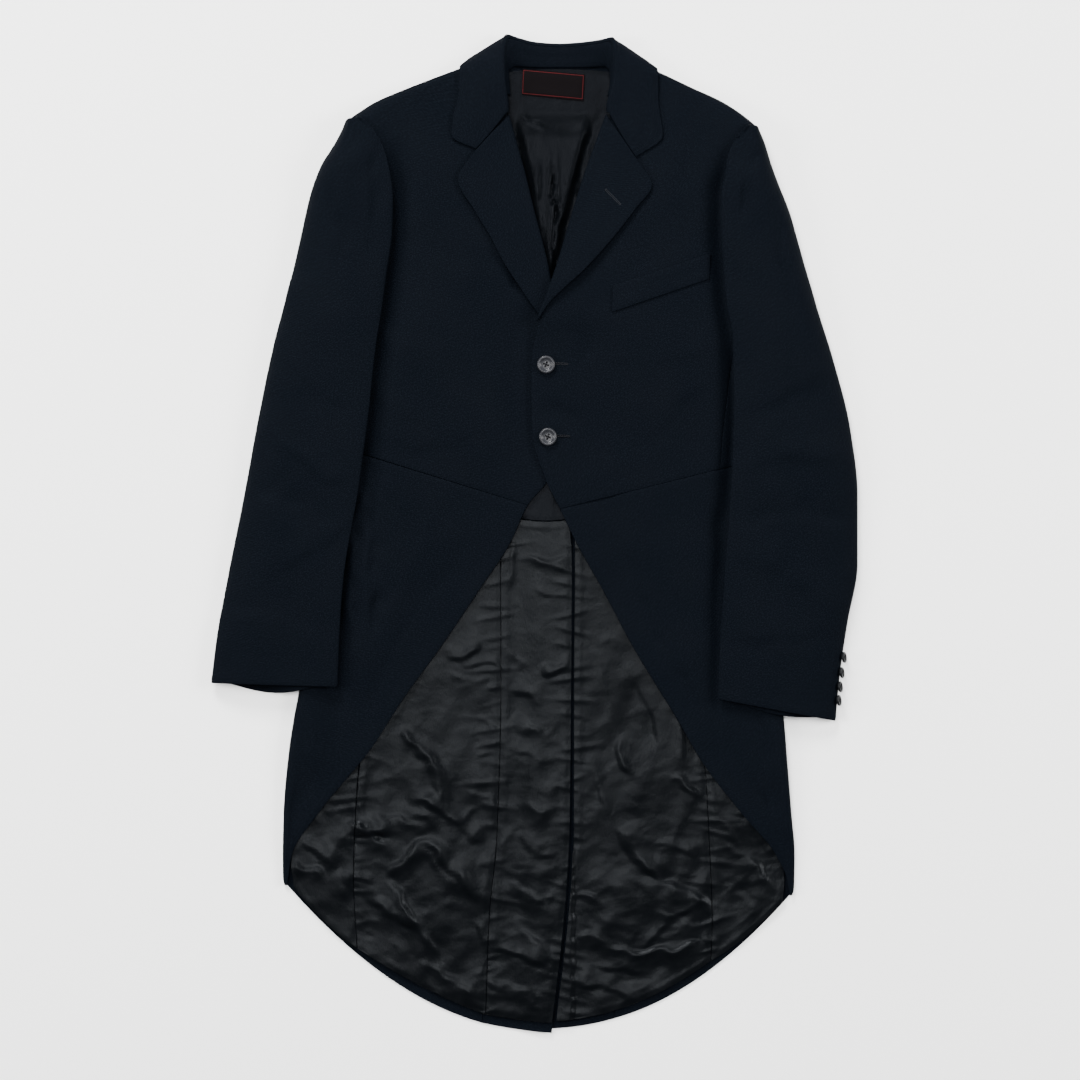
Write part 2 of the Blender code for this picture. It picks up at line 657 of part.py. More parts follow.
def sheet(name, grid, thickness, finish, face_up_at=None, face_down_at=None):
    """A closed wall of cloth whose outer face is the grid and whose thickness lies behind it."""
    grid = np.array(grid, float)
    i, j = face_up_at or face_down_at
    across = grid[i, min(j + 1, grid.shape[1] - 1)] - grid[i, max(j - 1, 0)]
    along = grid[min(i + 1, grid.shape[0] - 1), j] - grid[max(i - 1, 0), j]
    looks_up = np.cross(across, along)[2] > 0
    if looks_up != (face_up_at is not None):
        grid = grid[:, ::-1]
    obj = new_piece(name)
    build = bmesh.new()
    verts = [[build.verts.new(point * MM) for point in row] for row in grid]
    for lower, upper in zip(verts, verts[1:]):
        for a, b, c, d in zip(lower, lower[1:], upper[1:], upper):
            build.faces.new((a, b, c, d))
    build.to_mesh(obj.data)
    build.free()
    wall = obj.modifiers.new("wall", "SOLIDIFY")
    wall.thickness = thickness * MM
    wall.offset = -1
    wall.use_quality_normals = True
    obj.data.shade_smooth()
    obj.data.materials.append(finish)
    return obj


def forepart(side, columns=8):
    """From the waist seam up to the shoulder, over it and down to the shoulder seam behind."""
    rows = between(FOREPART[side], 42, lambda row: (0, row.front_y))
    grid = []
    for k, row in enumerate(rows):
        seam = SEAM / 2 if k == 0 else 0
        front_x = column(BODY[side], "front_x", row.front_y)
        side_x = seam_x(UNDERARM_SEAM[side], row.side_y) - side * SEAM / 2
        t = np.linspace(0, 1, columns + 1)
        x = front_x + (side_x - front_x) * t
        y = row.front_y + seam + (row.side_y - row.front_y) * t
        grid.append(np.stack([x, y, upper_height(side, x, y)], axis=1))
    for angle in (90, 50, 15, -15, -50, -90):
        grid.append(shoulder_row(side, columns, math.radians(angle), 0))
    grid.append(shoulder_row(side, columns, math.radians(-90), SHOULDER_TURN))
    sheet(f"forepart_{word(side)}", grid, WOOL, wool(), face_up_at=(2, 3))


def shoulder_row(side, columns, angle, inset):
    """Points along the shoulder at one angle of its fold: 90 degrees is on top, -90 on the floor."""
    ends = SHOULDER[side]
    x = np.linspace(ends[0].x, ends[-1].x, columns + 1)
    order = sorted(ends, key=lambda point: point.x)
    y = smooth(x, [point.x for point in order], [point.y for point in order])
    in_x, in_y = SHOULDER_INWARD[side]
    top = upper_height(side, x + 11 * in_x, y + 11 * in_y)
    lift = floor_lift(y)
    radius = (top - lift) / 2
    reach = radius * (1 - math.cos(angle)) + inset
    z = lift + radius * (1 + math.sin(angle))
    return np.stack([x + in_x * reach, y + in_y * reach, z], axis=1)


def folded(side, rows, spacing, upper, lower, front_x_of, back_inset, gap):
    """Rows that run out on the upper layer, round the side fold and back in on the floor."""
    grid = []
    rows = between(rows, spacing, lambda row: (row.front_y, row.back_y))
    for k, row in enumerate(rows):
        seam = gap if k == 0 else 0
        front_x = front_x_of(row.front_y)
        back_x = seam_x(SIDE_BACK_SEAM[side], row.back_y) + side * back_inset
        points = []
        t = np.linspace(0, 1, upper + 1)
        y = row.front_y + (row.fold_y - row.front_y) * t + seam
        radius = column(BODY[side], "fold_z", row.fold_y) / 2
        fold_x = column(BODY[side], "fold_x", row.fold_y)
        x = front_x + (fold_x - side * radius - front_x) * t
        points += list(np.stack([x, y, upper_height(side, x, y)], axis=1))
        for angle in (55, 20, -20, -55):
            turn = math.radians(angle)
            place = fold_x - side * radius * (1 - math.cos(turn))
            points.append((place, row.fold_y + seam, radius * (1 + math.sin(turn))))
        t = np.linspace(0, 1, lower + 1)
        x = fold_x - side * radius + (back_x - fold_x + side * radius) * t
        y = row.fold_y + (row.back_y - row.fold_y) * t - 4 * row.bow * t * (1 - t) + seam
        points += list(np.stack([x, y, np.zeros(lower + 1)], axis=1))
        grid.append(points)
    return grid


def side_body(side):
    """From the underarm seam round the side to the curved seam beside the back."""
    grid = folded(
        side,
        SIDE_BODY[side],
        48,
        upper=1,
        lower=4,
        front_x_of=lambda y: seam_x(UNDERARM_SEAM[side], y) + side * SEAM / 2,
        back_inset=SEAM / 2,
        gap=SEAM / 2,
    )
    sheet(f"side_body_{word(side)}", grid, WOOL, wool(), face_up_at=(1, 0))


def skirt(side):
    """From the cutaway edge out to the side, round the fold and in to the seam beside the tail."""
    grid = folded(
        side,
        SKIRT[side],
        44,
        upper=6,
        lower=4,
        front_x_of=lambda y: column(BODY[side], "front_x", y),
        back_inset=SEAM / 2,
        gap=-SEAM / 2,
    )
    sheet(f"skirt_{word(side)}", grid, WOOL, wool(), face_up_at=(1, 2))


def back(side, columns=8):
    """Half of the back and its tail, flat on the floor but for the vent's lap and the collar's lift."""
    rows = between(BACK[side], 60, lambda row: (row.centre_x, row.centre_y))
    grid = []
    for row in rows:
        t = np.linspace(0, 1, columns + 1)
        outer_x = seam_x(SIDE_BACK_SEAM[side], row.outer_y) - side * SEAM / 2
        centre_x = row.centre_x + side * SEAM / 2
        x = outer_x + (centre_x - outer_x) * t
        y = row.outer_y + (row.centre_y - row.outer_y) * t - 4 * row.bow * t * (1 - t)
        z = floor_lift(y) + (vent_lift(x, y) if side == RIGHT else 0)
        grid.append(np.stack([x, y, z], axis=1))
    seam = shoulder_row(side, columns, math.radians(-90), SHOULDER_TURN + SEAM)[::-1]
    grid.append(seam)
    sheet(f"back_{word(side)}", grid, WOOL, wool(), face_down_at=(3, 2))


def lapel(side):
    """The facing, rolled round the forepart's front edge and laid out on the chest."""
    rows = between(LAPEL[side], 26, lambda row: (row.roll_x, row.roll_y))
    grid = []
    for row in rows:
        roll = np.array([row.roll_x, row.roll_y])
        edge = np.array([row.edge_x, row.edge_y])
        out = (edge - roll) / np.linalg.norm(edge - roll)
        centre = roll + out * ROLL_RADIUS
        rim = centre + out * 0.3
        middle_z = upper_height(side, rim[0], rim[1]) - WOOL / 2
        points = []
        start = centre + out * 2.5
        points.append((*start, middle_z - ROLL_RADIUS))
        for angle in (-90, -45, 0, 45):
            turn = math.radians(angle)
            place = centre - out * ROLL_RADIUS * math.cos(turn)
            points.append((*place, middle_z + ROLL_RADIUS * math.sin(turn)))
        for t in (0, 0.12, 0.3, 0.55, 0.8, 1):
            place = centre + (edge - centre) * t
            base = upper_height(side, place[0], place[1]) + ROLL_RADIUS - WOOL / 2
            points.append((*place, base + row.lift * ramp(t / 0.55)))
        grid.append(points)
    sheet(f"lapel_{word(side)}", grid, WOOL, wool(), face_up_at=(3, 7))


def word(side):
    return "left" if side == LEFT else "right"


def off_forepart(point):
    """A point of the collar, moved out of the forepart's top face and shoulder fold where it is too near."""
    x, y, z = point
    side = LEFT if x > COLLAR_CENTRE_X else RIGHT
    ends = sorted(SHOULDER[side], key=lambda end: end.x)
    neck_x = SHOULDER[side][0].x
    if (x - neck_x) * side < -NECK_REACH:
        return point
    clear = COLLAR_CLOTH + FALL_CLEAR
    in_x, in_y = SHOULDER_INWARD[side]
    fold_y = float(smooth(x, [end.x for end in ends], [end.y for end in ends]))
    lift = floor_lift(fold_y)
    radius = (float(upper_height(side, x, y)) - lift) / 2
    past = (y - fold_y) * -in_y + radius
    if past <= 0:
        return np.array([x, y, max(z, float(upper_height(side, x, y)) + clear)])
    up = z - lift - radius
    distance = math.hypot(past, up)
    clear += FOLD_CLEAR
    if distance >= radius + clear:
        return point
    push = (radius + clear) / distance
    shift = past * (push - 1)
    return np.array([x - in_x * shift, y - in_y * shift, max(lift + radius + up * push, REST)])


def roll_frame(row):
    """The directions a collar row's roll turns through: from the neck side over to the crest."""
    heading = math.radians(row.heading)
    tilt = math.radians(row.tilt)
    out = np.array([math.cos(heading), math.sin(heading), 0])
    up = np.array([0, 0, 1.0])
    return up * math.sin(tilt) - out * math.cos(tilt), up * math.cos(tilt) + out * math.sin(tilt)


def roll_point(row, angle):
    inner, crest = roll_frame(row)
    turn = math.radians(angle)
    centre = np.array([row.x, row.y, row.z])
    return centre + FALL_RADIUS * (math.cos(turn) * inner + math.sin(turn) * crest)


def fall_section(row):
    """One section of the collar fall: its roll at the crease, then down to its outer edge."""
    points = [roll_point(row, angle) for angle in np.linspace(ROLL_START, row.turn, 5)]
    start = points[-1]
    knee = np.array([row.knee_x, row.knee_y, row.knee_z])
    edge = np.array([row.edge_x, row.edge_y, row.edge_z])
    for t in (0.2, 0.4, 0.6, 0.8, 1):
        points.append(off_forepart((1 - t) ** 2 * start + 2 * t * (1 - t) * knee + t * t * edge))
    return points


def collar_fall():
    """The upper collar, one band from notch to notch round the back of the neck."""
    rows = between(COLLAR, 20, lambda row: (row.edge_x, row.edge_y))
    grid = [fall_section(row) for row in rows]
    sheet("collar_fall", grid, COLLAR_CLOTH, wool(), face_up_at=(2, 7))


def collar_stand(columns=3):
    """The band inside the neck, from the neck seam up to the crease."""
    rows = between(COLLAR[STAND_ROWS], 14, lambda row: (row.x, row.y))
    grid = []
    for row in rows:
        inner, crest = roll_frame(row)
        turn = math.radians(ROLL_START)
        along = math.cos(turn) * crest - math.sin(turn) * inner
        top = roll_point(row, ROLL_START) - 2 * REST * along - SEAM * crest
        neck = np.array([row.neck_x, row.neck_y, row.neck_z])
        t = np.linspace(0, 1, columns + 1)[:, None]
        grid.append(neck + (top - neck) * t)
    sheet("collar_stand", grid, WOOL, wool(), face_up_at=(len(grid) // 2, 1))


def body_top(side, x, y):
    """How high a sleeve lies over the side of the body."""
    fold_x = column(BODY[side], "fold_x", y)
    fold_z = column(BODY[side], "fold_z", y)
    inside = (x - fold_x) * side < -fold_z / 2
    return float(upper_height(side, x, y) if inside else fold_z) + CLEAR


def sleeve_floor(side, x, y):
    """The outer face of a sleeve's lower layer: on the floor, climbing over the body's side fold."""
    past = (x - column(BODY[side], "fold_x", y)) * side
    climb = ramp((CLIMB_WIDTH - past) / CLIMB_WIDTH) * ramp((CLIMB_TOP_Y - y) / CLIMB_RUN)
    height = body_top(side, x, y) * climb
    if side == RIGHT:
        first, last = RIGHT_CUFF_BUTTONS[0], RIGHT_CUFF_BUTTONS[-1]
        t = np.clip((first.y - y) / (first.y - last.y), 0, 1)
        off = math.hypot(x - first.x - (last.x - first.x) * t, y - first.y - (last.y - first.y) * t)
        height = max(height, CUFF_BUTTON_LIFT * ramp((26 - off) / 14))
    return float(height)


def rounded(t, power):
    """1 across the middle of the sleeve's width and 0 at its edges."""
    return math.sqrt(max(1 - abs(2 * t - 1) ** power, 0))


def sleeve_section(side, row):
    """The top sleeve's outer face: round its outer edge from beneath, over, and round its inner edge."""
    outer = np.array([row.outer_x, row.outer_y])
    inner = np.array([row.inner_x, row.inner_y])
    points = []
    for share in (1, 0.45, 0.12, 0):
        t = OUTER_WRAP * share
        x, y = outer + (inner - outer) * t
        points.append((x, y, sleeve_floor(side, x, y) + OUTER_ROLL * (1 - rounded(t, 14))))
    outer_z = points[-1][2]
    inner_z = body_top(side, *inner) + row.roll
    for t in (0.02, 0.08, 0.2, 0.36, 0.52, 0.68, 0.82, 0.92, 0.98):
        x, y = outer + (inner - outer) * t
        edge_z = outer_z + (inner_z - outer_z) * ramp(t)
        points.append((x, y, edge_z + (max(row.top, edge_z + 1) - edge_z) * rounded(t, SLEEVE_SQUARENESS)))
    for share in (0, 0.12, 0.45, 1):
        t = 1 - row.wrap * share
        x, y = outer + (inner - outer) * t
        points.append((x, y, body_top(side, x, y) + row.roll * (1 - rounded(t, 14))))
    return points


def sleeve_rows(side):
    return between(SLEEVE[side], 52, lambda row: (row.outer_x, row.outer_y))


def sleeve_top(side):
    """The upper sleeve, which takes in both edges."""
    grid = [sleeve_section(side, row) for row in sleeve_rows(side)]
    sheet(f"sleeve_top_{word(side)}", grid, WOOL, wool(), face_up_at=(3, 8))


def sleeve_under(side, columns=8):
    """The under sleeve, flat on the floor and lying over the side of the body."""
    start = SLEEVE[side][UNDER_SLEEVE_FROM].outer_y
    rows = [row for row in sleeve_rows(side) if row.outer_y <= start]
    grid = []
    for k, row in enumerate(rows):
        outer = np.array([row.outer_x, row.outer_y])
        inner = np.array([row.inner_x, row.inner_y])
        first = outer + (inner - outer) * (OUTER_WRAP + SLEEVE_SEAM)
        last = np.array([row.under_x, row.under_y]) + (outer - inner) * SLEEVE_SEAM
        past_cuff = UNDER_SLEEVE_PAST_CUFF[side] if k == len(rows) - 1 else 0
        points = []
        for t in np.linspace(0, 1, columns + 1):
            x, y = first + (last - first) * t
            points.append((x, y - past_cuff * math.sin(math.pi * t), sleeve_floor(side, x, y)))
        grid.append(points)
    sheet(f"sleeve_under_{word(side)}", grid, WOOL, wool(), face_down_at=(3, 2))


def lower_top(x, y):
    """The inner face of the lower layer, which linings lie on."""
    return WOOL + floor_lift(y) + vent_lift(x, y) * (x < VENT_EDGE_X)


def lining_grid(rows, spacing, columns, form):
    """Rows of a lining, laid on the lower layer with its folds."""
    grid = []
    for row in between(rows, spacing, lambda row: (row.left_x, row.left_y)):
        t = np.linspace(0, 1, columns + 1)
        x = row.left_x + (row.right_x - row.left_x) * t
        y = row.left_y + (row.right_y - row.left_y) * t - 4 * row.bow * t * (1 - t)
        grid.append(np.stack([x, y, lower_top(x, y) + LINING_REST + SATIN + form(x, y)], axis=1))
    return grid


def tail_lining(name, columns):
    grid = lining_grid(TAIL_LINING[name], 28, columns, wrinkle_height)
    sheet(name, grid, SATIN, satin(), face_up_at=(2, 2))


def back_lining():
    """The lining of the back, with the pleat down its centre."""
    def pleat(x, y):
        ridge = ramp(1 - np.abs(x - PLEAT_X) / PLEAT_HALF_WIDTH)
        return PLEAT_HEIGHT * ridge * ramp((430 - y) / 40) * ramp((y - 90) / 60)

    grid = lining_grid(BACK_LINING, 100, 9, pleat)
    sheet("back_lining", grid, SATIN, satin(), face_up_at=(2, 2))


def patch(name, corners, columns, rows, height, thickness, finish):
    """A four-cornered piece laid at a height over what it is sewn to."""
    places = np.array(corners).reshape(4, 2)
    grid = []
    for v in np.linspace(0, 1, rows + 1):
        left = places[0] + (places[3] - places[0]) * v
        right = places[1] + (places[2] - places[1]) * v
        row = []
        for u in np.linspace(0, 1, columns + 1):
            x, y = left + (right - left) * u
            row.append((x, y, height(x, y) + thickness))
        grid.append(row)
    return sheet(name, grid, thickness, finish, face_up_at=(0, 1))


def button(name, place, radius, thick, axis, sides):
    """A turned button with a rim and a dished middle, its back at the place and its face along the axis."""
    profile = (
        (0.0, 0.62),
        (0.52, 0.62),
        (0.64, 0.78),
        (0.80, 1.0),
        (0.95, 0.90),
        (1.0, 0.55),
        (0.86, 0.12),
        (0.60, 0.0),
        (0.0, 0.0),
    )
    obj = new_piece(name)
    build = bmesh.new()
    line = [build.verts.new((r * radius * MM, 0, h * thick * MM)) for r, h in profile]
    edges = [build.edges.new(pair) for pair in zip(line, line[1:])]
    bmesh.ops.spin(
        build,
        geom=line + edges,
        cent=(0, 0, 0),
        axis=(0, 0, 1),
        angle=2 * math.pi,
        steps=sides,
        use_merge=True,
    )
    bmesh.ops.remove_doubles(build, verts=build.verts, dist=1e-6)
    bmesh.ops.recalc_face_normals(build, faces=build.faces)
    turn = Vector((0, 0, 1)).rotation_difference(Vector(axis)).to_matrix().to_4x4()
    build.transform(Matrix.Translation(Vector(place) * MM) @ turn)
    build.to_mesh(obj.data)
    build.free()
    obj.data.shade_smooth()
    obj.data.set_sharp_from_angle(angle=math.radians(35))
    obj.data.materials.append(material("horn_button", (0.02, 0.021, 0.024), 0.3))


def buttons():
    for place in FRONT_BUTTONS:
        z = float(upper_height(LEFT, place.x, place.y)) + REST + SEAM
        centre = (place.x, place.y, z)
        button(place.name, centre, FRONT_BUTTON_RADIUS, FRONT_BUTTON_THICK, (0, 0, 1), 20)
    tilt = math.radians(CUFF_BUTTON_TILT)
    for place in LEFT_CUFF_BUTTONS:
        centre = (place.x, place.y, OUTER_ROLL + CUFF_BUTTON_RISE)
        axis = (math.cos(tilt), 0.1, math.sin(tilt))
        button(place.name, centre, CUFF_BUTTON_RADIUS, CUFF_BUTTON_THICK, axis, 12)
    for place in RIGHT_CUFF_BUTTONS:
        centre = (place.x, place.y, CUFF_BUTTON_THICK + REST)
        button(place.name, centre, CUFF_BUTTON_RADIUS, CUFF_BUTTON_THICK, (0, 0, -1), 12)


def trim():
    """The breast pocket's welt on the left forepart, and the label on the back lining."""
    def on_chest(x, y):
        return float(upper_height(LEFT, x, y)) + REST

    def on_lining(x, y):
        return float(lower_top(x, y)) + SATIN + LABEL_LIFT

    label = material("label_weave", (0.03, 0.02, 0.02), 0.6)
    patch("breast_welt", BREAST_WELT, 6, 2, on_chest, WOOL, wool())
    patch("woven_label", WOVEN_LABEL, 6, 4, on_lining, SATIN, label)


def centre_on_floor():
    """Move every mesh by the same amount, so the coat's middle is at x = y = 0 and it rests on z = 0."""
    low = np.full(3, np.inf)
    high = np.full(3, -np.inf)
    for obj in bpy.data.objects:
        points = np.array([vert.co for vert in obj.data.vertices])
        low = np.minimum(low, points.min(axis=0))
        high = np.maximum(high, points.max(axis=0))
    middle = (low + high) / 2
    for obj in bpy.data.objects:
        obj.data.transform(Matrix.Translation((-middle[0], -middle[1], 0)))


def main():
    for obj in list(bpy.data.objects):
        bpy.data.objects.remove(obj)
    for side in (RIGHT, LEFT):
        back(side)
        side_body(side)
        skirt(side)
        forepart(side)
        lapel(side)
        sleeve_top(side)
        sleeve_under(side)
    collar_fall()
    collar_stand()
    back_lining()
    tail_lining("tail_lining_centre", 8)
    tail_lining("tail_lining_right", 7)
    tail_lining("tail_lining_left", 7)
    tail_lining("tail_lining_far_right", 4)
    tail_lining("tail_lining_far_left", 4)
    trim()
    buttons()
    centre_on_floor()


main()
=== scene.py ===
"""The looks of a morning coat laid flat on its back, face up, buttoned, with its sleeves at its sides.

Sizes are in millimetres and become metres when a mesh is made. The wearer's left is +X and the collar is
at +Y. Each piece of cloth is a fine sheet on the form of its solid: the same sections, read more closely,
with its seams pressed in and its creases laid on it.
"""

import functools
import math
from collections import namedtuple

import bmesh
import bpy
import numpy as np
from mathutils import Matrix, Vector


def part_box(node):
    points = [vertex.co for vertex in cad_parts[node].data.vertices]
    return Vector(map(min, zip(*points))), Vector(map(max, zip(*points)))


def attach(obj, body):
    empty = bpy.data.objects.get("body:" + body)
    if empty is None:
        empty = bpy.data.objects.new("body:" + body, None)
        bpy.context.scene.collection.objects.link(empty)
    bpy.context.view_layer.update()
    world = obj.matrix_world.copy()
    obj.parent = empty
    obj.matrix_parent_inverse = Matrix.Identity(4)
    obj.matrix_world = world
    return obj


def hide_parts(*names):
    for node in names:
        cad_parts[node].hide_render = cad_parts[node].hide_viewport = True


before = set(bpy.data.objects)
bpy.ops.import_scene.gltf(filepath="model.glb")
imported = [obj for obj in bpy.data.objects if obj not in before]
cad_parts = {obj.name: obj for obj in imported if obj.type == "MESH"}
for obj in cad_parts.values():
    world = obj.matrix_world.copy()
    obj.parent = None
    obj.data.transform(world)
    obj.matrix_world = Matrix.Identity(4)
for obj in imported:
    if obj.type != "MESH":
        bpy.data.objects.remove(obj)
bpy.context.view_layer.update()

MM = 0.001

# Cloth walls
WOOL = 1.6
SATIN = 1.0
COLLAR_CLOTH = 1.8
SEAM = 0.3
REST = 0.35
LINING_REST = 0.85

# How far a lap lifts a layer, where the collar's fall starts to lift the lower one, and the collar's middle
LAP_LIFT = 2.6
NECK_LIFT_Y = 456
NECK_LIFT_RUN = 34
COLLAR_CENTRE_X = 26.5

# The back's centre seam and, lower down, its lapped vent
CENTRE_BACK_X = 12
VENT_RISE_X = -22
VENT_RISE = 28
VENT_EDGE_X = 41.5
VENT_TOP_Y = 50
VENT_TOP_RUN = 40

# The fronts: the level band that the facing stiffens beside the edge, and how much of the way across each
# slope takes
FACING_WIDTH = 34
FACING_LOW_Y = -340
FACING_RUN = 60
SLOPE_SHARE = 0.55

# The turned edges: how far the shoulder turns in beneath, how far in from it the forepart's height is read,
# and the radii of the lapels' roll and the collar's
SHOULDER_TURN = 3
SHOULDER_READ_IN = 11
ROLL_RADIUS = 3.0
FALL_RADIUS = 3.6

# Buttons
FRONT_BUTTON_RADIUS = 9.7
FRONT_BUTTON_THICK = 4.2
CUFF_BUTTON_RADIUS = 6.0
CUFF_BUTTON_THICK = 3.0

RIGHT = -1
LEFT = 1
UP = Vector((0, 0, 1))


def table_of(kind, *values):
    """A table whose rows are given as plain values."""
    return tuple(kind(*row) for row in values)


# The body at each height: where its side folds, where its front edge runs, and how high the upper layer
# lies at the front edge, halfway across and at the side fold
BodyRow = namedtuple("BodyRow", "y fold_x front_x front_z middle_z fold_z")
BODY = {
    RIGHT: table_of(
        BodyRow,
        (-386, -270.5, -266, 6, 6, 6), (-366, -273, -266, 6, 6, 6), (-347, -273, -263, 7, 7.5, 8),
        (-301, -272, -233.5, 8, 9, 11), (-233, -266, -178, 9, 10.5, 13), (-179, -257, -143, 9, 11, 14),
        (-118, -243, -99, 9, 11.5, 15), (-60, -228, -60, 9, 12, 16), (-10, -217, -27, 9, 12.5, 17),
        (31, -214, -8, 9, 13, 17.5), (60, -214, 15, 9, 13, 18), (110, -218, 28, 9, 14, 19),
        (160, -224, 29, 9, 15.5, 20.5), (215, -231, 25, 9.5, 17, 22), (262, -238, 16, 11, 18, 23),
        (310, -236, 7, 13, 19, 24), (365, -226, -9, 14, 20, 26), (408, -214, -19, 15, 21, 27),
        (446, -206, -29.5, 15, 20, 27), (480, -206, -34, 15, 18, 25), (520, -206, -40, 15, 17, 23),
    ),
    LEFT: table_of(
        BodyRow,
        (-396, 277.5, 273.5, 6, 6, 6), (-380, 280.5, 273.5, 6, 6, 6), (-347, 281, 260.5, 7, 8, 8.5),
        (-303, 277.5, 224, 8, 9, 11), (-247, 273, 181, 9, 10.5, 13), (-199, 269, 153, 9, 11, 14),
        (-122, 256, 106, 9, 11.5, 15), (-60, 242, 73, 9.2, 12, 16), (-10, 231, 45, 10, 12.5, 17),
        (27, 229, 27, 11, 13, 17.5), (60, 229, 11, 11.3, 13.5, 18), (110, 233, -3, 11.3, 14.5, 19),
        (156, 238, -4, 11.3, 16, 20.5), (193, 244, -3, 12, 17, 21.5), (215, 247, 1, 14.5, 18, 22),
        (235, 252, 6, 17.6, 19, 22.5), (262, 258, 16, 18.4, 20, 23), (310, 258, 33, 18, 20, 24),
        (365, 252, 49, 18, 21, 26), (408, 248, 66, 18, 21, 27), (446, 244, 79.5, 17, 20, 27),
        (480, 244, 84, 16, 18, 25), (520, 244, 92, 15, 17, 23),
    ),
}

# Seams as one x for each y
SeamPoint = namedtuple("SeamPoint", "y x")
SIDE_BACK_SEAM = {
    RIGHT: table_of(
        SeamPoint,
        (-530, -57), (-414, -51), (-330, -43), (-158, -38.5), (-37, -39), (17, -43), (55, -54), (112, -78),
        (175, -106), (255, -150), (330, -197), (350, -193), (400, -189), (440, -192),
    ),
    LEFT: table_of(
        SeamPoint,
        (-527, 86), (-414, 84), (-330, 82), (-250, 79), (-170, 74), (-100, 69), (-37, 66), (17, 69),
        (55, 80), (112, 104), (175, 132), (255, 176), (330, 223), (350, 221), (400, 222), (440, 232),
    ),
}
UNDERARM_SEAM = {
    RIGHT: table_of(
        SeamPoint,
        (86, -185), (110, -187), (150, -191), (195, -197), (235, -203), (262, -205), (300, -196),
        (345, -178), (385, -166), (412, -165), (430, -177),
    ),
    LEFT: table_of(
        SeamPoint,
        (70, 200), (110, 203), (150, 208), (195, 214), (235, 222), (262, 226), (300, 220), (345, 212),
        (385, 209), (412, 215), (425, 222),
    ),
}

# The shoulder's outline from the neck to the sleeve head
ShoulderPoint = namedtuple("ShoulderPoint", "x y")
SHOULDER = {
    RIGHT: table_of(
        ShoulderPoint,
        (-40, 519), (-78, 504.5), (-120, 488.5), (-150, 476.5), (-173, 466), (-199, 449),
    ),
    LEFT: table_of(
        ShoulderPoint,
        (93, 517), (130, 501), (170, 482), (200, 468), (222, 454), (238, 441),
    ),
}
SHOULDER_INWARD = {RIGHT: (0.40, -0.917), LEFT: (-0.44, -0.898)}

# Rows of the forepart, from the waist seam to the shoulder
ForepartRow = namedtuple("ForepartRow", "front_y side_y")
FOREPART = {
    RIGHT: table_of(
        ForepartRow,
        (31, 86), (60, 110), (110, 150), (160, 195), (215, 235), (262, 262), (310, 300), (365, 345),
        (408, 385), (446, 412), (482, 428),
    ),
    LEFT: table_of(
        ForepartRow,
        (27, 70), (60, 110), (110, 150), (156, 195), (193, 215), (235, 235), (262, 262), (310, 300),
        (365, 345), (408, 385), (446, 408), (482, 422),
    ),
}

# Rows of the pieces that turn round the side fold: their y at the front end, at the fold and at the back
# seam, and how far the lower layer's row bows down between fold and seam
FoldRow = namedtuple("FoldRow", "front_y fold_y back_y bow")
SIDE_BODY = {
    RIGHT: table_of(
        FoldRow,
        (86, 92, 17, 0), (110, 115, 55, 0), (150, 155, 112, 0), (195, 198, 175, 0), (235, 236, 255, 0),
        (262, 262, 329.7, 8),
    ),
    LEFT: table_of(
        FoldRow,
        (70, 75, 17, 0), (110, 114, 55, 0), (150, 152, 112, 0), (195, 196, 175, 0), (235, 236, 255, 0),
        (262, 262, 329.7, 8),
    ),
}
SKIRT = {
    RIGHT: table_of(
        FoldRow,
        (31, 92, 17, 0), (-10, 45, -37, 0), (-60, -15, -95, 0), (-118, -80, -158, 0), (-179, -145, -240, 2),
        (-233, -208, -330, 6), (-301, -285, -414, 12), (-347, -346, -492, 20), (-366, -380, -529.5, 23),
    ),
    LEFT: table_of(
        FoldRow,
        (27, 75, 17, 0), (-10, 32, -37, 0), (-60, -22, -100, 0), (-122, -88, -170, 0),
        (-199, -165, -250, 2), (-247, -225, -330, 6), (-303, -290, -414, 10), (-347, -346, -487, 17),
        (-380, -391, -524.5, 20.5),
    ),
}

# Rows of the back, from the hem to the shoulder, and the centre edge's place on each
BackRow = namedtuple("BackRow", "outer_y centre_x centre_y bow")
BACK = {
    RIGHT: table_of(
        BackRow,
        (-529.5, 18, -540, 1.5), (-492, 24, -498, 0), (-414, 33, -418, 0), (-330, 38, -330, 0),
        (-240, 39, -240, 0), (-158, 40, -158, 0), (-95, 41, -90, 0), (-37, 41, -30, 0), (5, 39, 2, 0),
        (17, CENTRE_BACK_X, 10, 0), (55, CENTRE_BACK_X, 50, 0), (112, CENTRE_BACK_X, 105, 0),
        (175, CENTRE_BACK_X, 170, 0), (255, CENTRE_BACK_X, 255, 0), (330, CENTRE_BACK_X, 330, 0),
        (352, CENTRE_BACK_X, 400, 0), (385, CENTRE_BACK_X, 456, 0), (404, CENTRE_BACK_X, 490, 0),
        (420, -18, 504, 0),
    ),
    LEFT: table_of(
        BackRow,
        (-524.5, 14, -535.5, 2.5), (-487, 14, -492, 0), (-414, 14, -414, 0), (-330, 13, -330, 0),
        (-250, CENTRE_BACK_X, -250, 0), (-170, CENTRE_BACK_X, -170, 0), (-100, CENTRE_BACK_X, -95, 0),
        (-37, CENTRE_BACK_X, -30, 0), (17, CENTRE_BACK_X, 10, 0), (55, CENTRE_BACK_X, 50, 0),
        (112, CENTRE_BACK_X, 105, 0), (175, CENTRE_BACK_X, 170, 0), (255, CENTRE_BACK_X, 255, 0),
        (330, CENTRE_BACK_X, 330, 0), (352, CENTRE_BACK_X, 400, 0), (385, CENTRE_BACK_X, 456, 0),
        (404, CENTRE_BACK_X, 490, 0), (418, 60, 504, 0),
    ),
}

